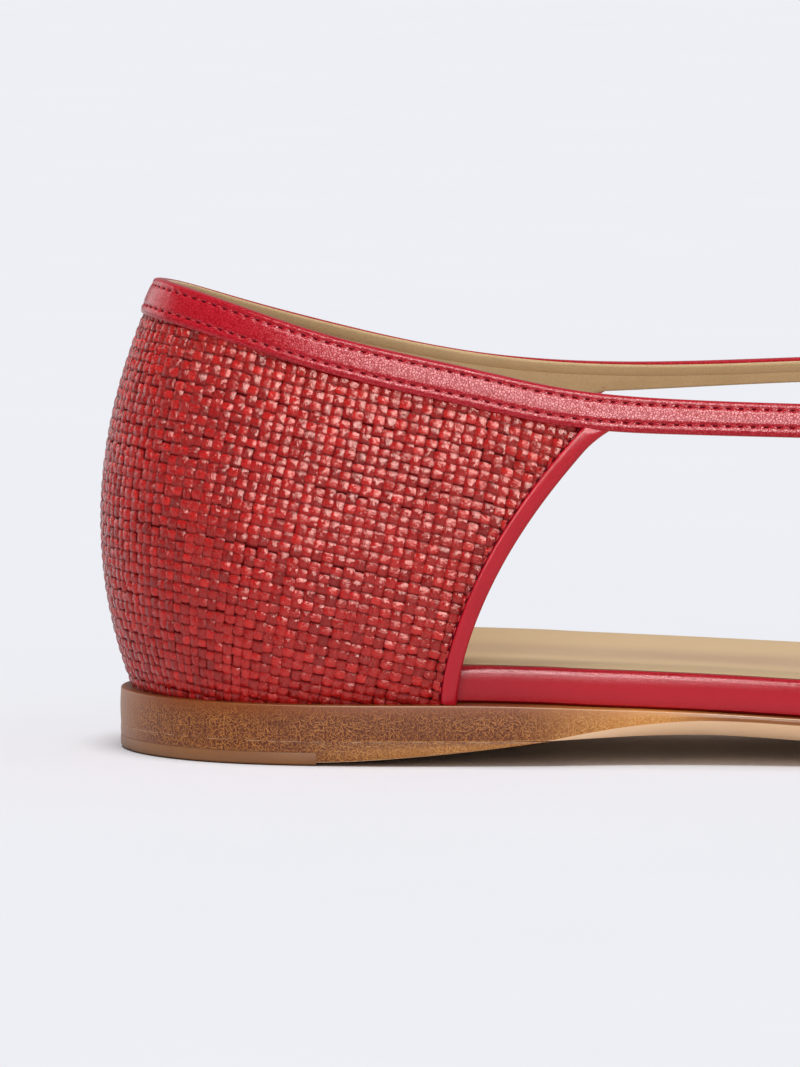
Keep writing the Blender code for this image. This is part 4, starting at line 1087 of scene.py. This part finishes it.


# Stitches. Red bonded polyester thread, sewn by machine: two rows along the band and one along each
# binding. Each stitch sinks into a slit in the leather and shows as a small loop between two slits; the
# shade in each slit is painted as a short, nearly black thread.
SLIT_LENGTH, SLIT_RADIUS = 0.62 * STITCH_PITCH, 0.14
LOOP_RISE = 0.09
BAND_LOOP, BINDING_LOOP = (0.75, 0.13), (1.2, 0.10)
BAND_SEAM_OUT, BINDING_SEAM_OUT = 0.37, 0.22
BINDING_SEAM_PLACE = 2.42
THREAD_LOOKS = (
    ("red_bonded_thread", "#A41220", "#C81E2C", {"Roughness": 0.55, "IOR": 1.45}),
    # The second look paints the shadow in the needle slits as a dark thread.
    ("dark_red_bonded_thread", "#46040E", "#640A18", {"Roughness": 0.8, "Specular IOR Level": 0.05}),
)
threads = []
for label, dark, light, finish in THREAD_LOOKS:
    material, add, mm = new_material(label)
    ply = add("TexNoise", {"Vector": mm, "Scale": 6.0, "Detail": 2.0})["Fac"]
    colour = add("Mix", {0: ply, 6: dark, 7: light}, data_type="RGBA")[2]
    shader = add("BsdfPrincipled", {"Base Color": colour, **finish})["BSDF"]
    add("OutputMaterial", {"Surface": shader})
    threads.append(material)
thread, slit_shadow = threads


def add_stitches(name, u, drop, s, first, pitch, out, length, radius, material):
    """A row of stitches: a short thread along the path at every pitch of s, bowed up between its holes."""
    centres = np.arange(first, s[-1] - length, pitch)
    t = np.linspace(-1, 1, 5)
    at = centres[:, None] + t * length / 2
    u_at = np.interp(at, s, u)
    drop_at = np.interp(at, s, drop)
    bow = np.interp(at, s, np.broadcast_to(out, np.shape(s))) - 0.16 * t**4
    line = on_wall(u_at, drop_at, bow)
    normal = on_wall(u_at, drop_at, 1.0) - on_wall(u_at, drop_at, 0.0)
    run = np.gradient(line, axis=1)
    run /= np.linalg.norm(run, axis=2)[:, :, None]
    sideways = np.cross(run, normal)
    turn = np.linspace(0, 2 * math.pi, 5, endpoint=False)
    thick = radius * np.sqrt(1 - 0.75 * t**2)[None, :, None, None]
    ring = np.cos(turn)[:, None] * sideways[:, :, None] + np.sin(turn)[:, None] * normal[:, :, None]
    points = line[:, :, None] + thick * ring
    index = np.arange(points.size // 3).reshape(points.shape[:3])
    ends = np.concatenate([index[:, 0, ::-1], index[:, -1]])
    index = np.concatenate([index, index[:, :, :1]], axis=2)
    quads = np.stack([index[:, :-1, :-1], index[:, :-1, 1:], index[:, 1:, 1:], index[:, 1:, :-1]], -1)
    quads = quads.reshape(-1, 4)[:, ::-1]
    add_piece(name, points.reshape(-1, 3), quads, [material], (), ends[:, ::-1].tolist())


def add_seam(name, u, drop, s, out, loop_length, loop_radius):
    """A seam: painted slit shadows at every pitch of s, with small loops of thread half a pitch on."""
    pitch = STITCH_PITCH
    path = (u, drop, s)
    add_stitches(name + "_stitches", *path, pitch / 2, pitch, out, SLIT_LENGTH, SLIT_RADIUS, slit_shadow)
    add_stitches(name + "_loops", *path, pitch, pitch, out + LOOP_RISE, loop_length, loop_radius, thread)


lower_row = band_width(band_places) - LOWER_ROW
lower_share = np.clip(lower_row / band_width(band_places) - 0.35, 0, 1)
lower_out = BAND_SEAM_OUT + CORNER_SWELL * swelling * lower_share
upper_row = np.full(len(band_places), UPPER_ROW)
add_seam("band_upper", band_places, upper_row, band_girth, BAND_SEAM_OUT, *BAND_LOOP)
add_seam("band_lower", band_places, lower_row, band_girth, lower_out, *BAND_LOOP)
for label, edge, inward in (
    ("counter_outer_binding", counter_outer, -1),
    ("counter_inner_binding", counter_inner, 1),
    ("toe_outer_binding", toe_outer, 1),
    ("toe_inner_binding", toe_inner, -1),
):
    u, drop, reach = binding_path(edge)
    u = u + inward * (BINDING_SEAM_PLACE - BINDING_REACH) / reach
    drop = np.minimum(drop, wall_height(u))
    add_seam(label, u, drop, run_length(on_wall(u, drop, 0.0)), BINDING_SEAM_OUT, *BINDING_LOOP)


# Studio. A pale seamless floor in an even pale room, a softbox overhead and one in front, and white cards
# round about that show only as soft reflections.
floor_paper, add, mm = new_material("pale_seamless_paper")
tooth = add("TexNoise", {"Vector": mm, "Scale": 0.02, "Detail": 2.0})["Fac"]
colour = add("Mix", {0: tooth, 6: "#E8E9ED", 7: "#EAEBEF"}, data_type="RGBA")[2]
shader = add("BsdfPrincipled", {"Base Color": colour, "Roughness": 0.9, "Specular IOR Level": 0.0})["BSDF"]
add("OutputMaterial", {"Surface": shader})
floor_mesh = bpy.data.meshes.new("floor")
floor_mesh.from_pydata([(-6, -6, 0), (6, -6, 0), (6, 8, 0), (-6, 8, 0)], [], [(0, 1, 2, 3)])
floor_mesh.materials.append(floor_paper)
floor = bpy.data.objects.new("floor", floor_mesh)
bpy.context.scene.collection.objects.link(floor)

room = bpy.data.worlds.new("pale_room")
room.use_nodes = True
room.node_tree.nodes["Background"].inputs["Color"].default_value = linear("#F4F6FA")
room.node_tree.nodes["Background"].inputs["Strength"].default_value = 0.33
bpy.context.scene.world = room

# Most lamps leave the floor out, and some light only chosen pieces.
not_floor = bpy.data.collections.new("kept from the front lights")
not_floor.objects.link(floor)
not_floor.collection_objects[0].light_linking.link_state = "EXCLUDE"


def lit_pieces(label, *names):
    """A collection of the named pieces, for a lamp that lights only them."""
    pieces = bpy.data.collections.new(label)
    for name in names:
        pieces.objects.link(bpy.data.objects[name])
    return pieces


sole_only = lit_pieces("lit from below", "outsole_leather")
counter_only = lit_pieces("lit from the near right", "counter_wefts", "counter_warps")
bindings_only = lit_pieces(
    "lit along their crest",
    "counter_binding_outer_leather", "counter_binding_inner_leather",
    "toe_binding_outer_leather", "toe_binding_inner_leather",
)
# Each softbox or card: name, where it stands as seen from the shoe, its size as an angle, its strength,
# what sees it (a card shows only as a reflection), and what it lights. A bounce stands for the light that
# the floor throws back, so the floor does not block it.
for label, toward, size, strength, seen_by, receivers in (
    ("overhead softbox", (-0.08, -0.10, 1.0), 24.0, 2.36, "diffuse", None),
    ("high card", (0.0, -0.56, 0.83), 24.0, 1.7, "glossy", not_floor),
    ("front softbox", (0.0, -0.88, 0.43), 30.0, 1.2, "both", not_floor),
    ("front card", (0.03, -0.86, 0.51), 30.0, 1.15, "glossy", not_floor),
    ("right card", (0.62, -0.62, 0.62), 54.0, 1.5, "glossy", not_floor),
    ("near right card", (0.62, -0.62, 0.62), 54.0, 8.2, "glossy", counter_only),
    ("rear left card", (-0.75, 0.62, 0.20), 50.0, 0.7, "glossy", not_floor),
    ("left card", (-0.55, -0.66, 0.42), 30.0, 1.6, "glossy", bindings_only),
    ("floor bounce", (0.0, -0.30, -0.95), 60.0, 1.0, "diffuse", sole_only),
    ("low bounce", (0.0, -0.85, -0.52), 70.0, 0.4, "both", counter_only),
):
    lamp = bpy.data.lights.new(label, "SUN")
    lamp.energy = strength
    lamp.angle = math.radians(size)
    lamp_stand = bpy.data.objects.new(label, lamp)
    lamp_stand.rotation_euler = Vector(toward).to_track_quat("Z", "Y").to_euler()
    lamp_stand.visible_diffuse = seen_by != "glossy"
    lamp_stand.visible_glossy = seen_by != "diffuse"
    lamp_stand.light_linking.receiver_collection = receivers
    if toward[2] < 0:
        lamp_stand.light_linking.blocker_collection = not_floor
        lamp.cycles.max_bounces = 0
    bpy.context.scene.collection.objects.link(lamp_stand)
bpy.context.scene.view_settings.view_transform = "Standard"

# Camera. The photograph looks level across the rear of the shoe from its outer side, a little from above.
CAMERA_DISTANCE = 1.6
CAMERA_RISE = math.radians(5.2)
FRAME_HEIGHT = 0.1482
aim = Vector(((np.array([41.7, 0.0, 29.6]) + LAST_TO_ROW) / 1000).tolist())
camera = bpy.data.cameras.new("camera")
camera.sensor_fit = "VERTICAL"
camera.sensor_height = 36.0
camera.lens = 36.0 * CAMERA_DISTANCE / FRAME_HEIGHT
camera.clip_start = 0.05
camera_stand = bpy.data.objects.new("camera", camera)
back = Vector((0.0, -math.cos(CAMERA_RISE), math.sin(CAMERA_RISE)))
camera_stand.location = aim + CAMERA_DISTANCE * back
camera_stand.rotation_euler = back.to_track_quat("Z", "Y").to_euler()
bpy.context.scene.collection.objects.link(camera_stand)
bpy.context.scene.camera = camera_stand
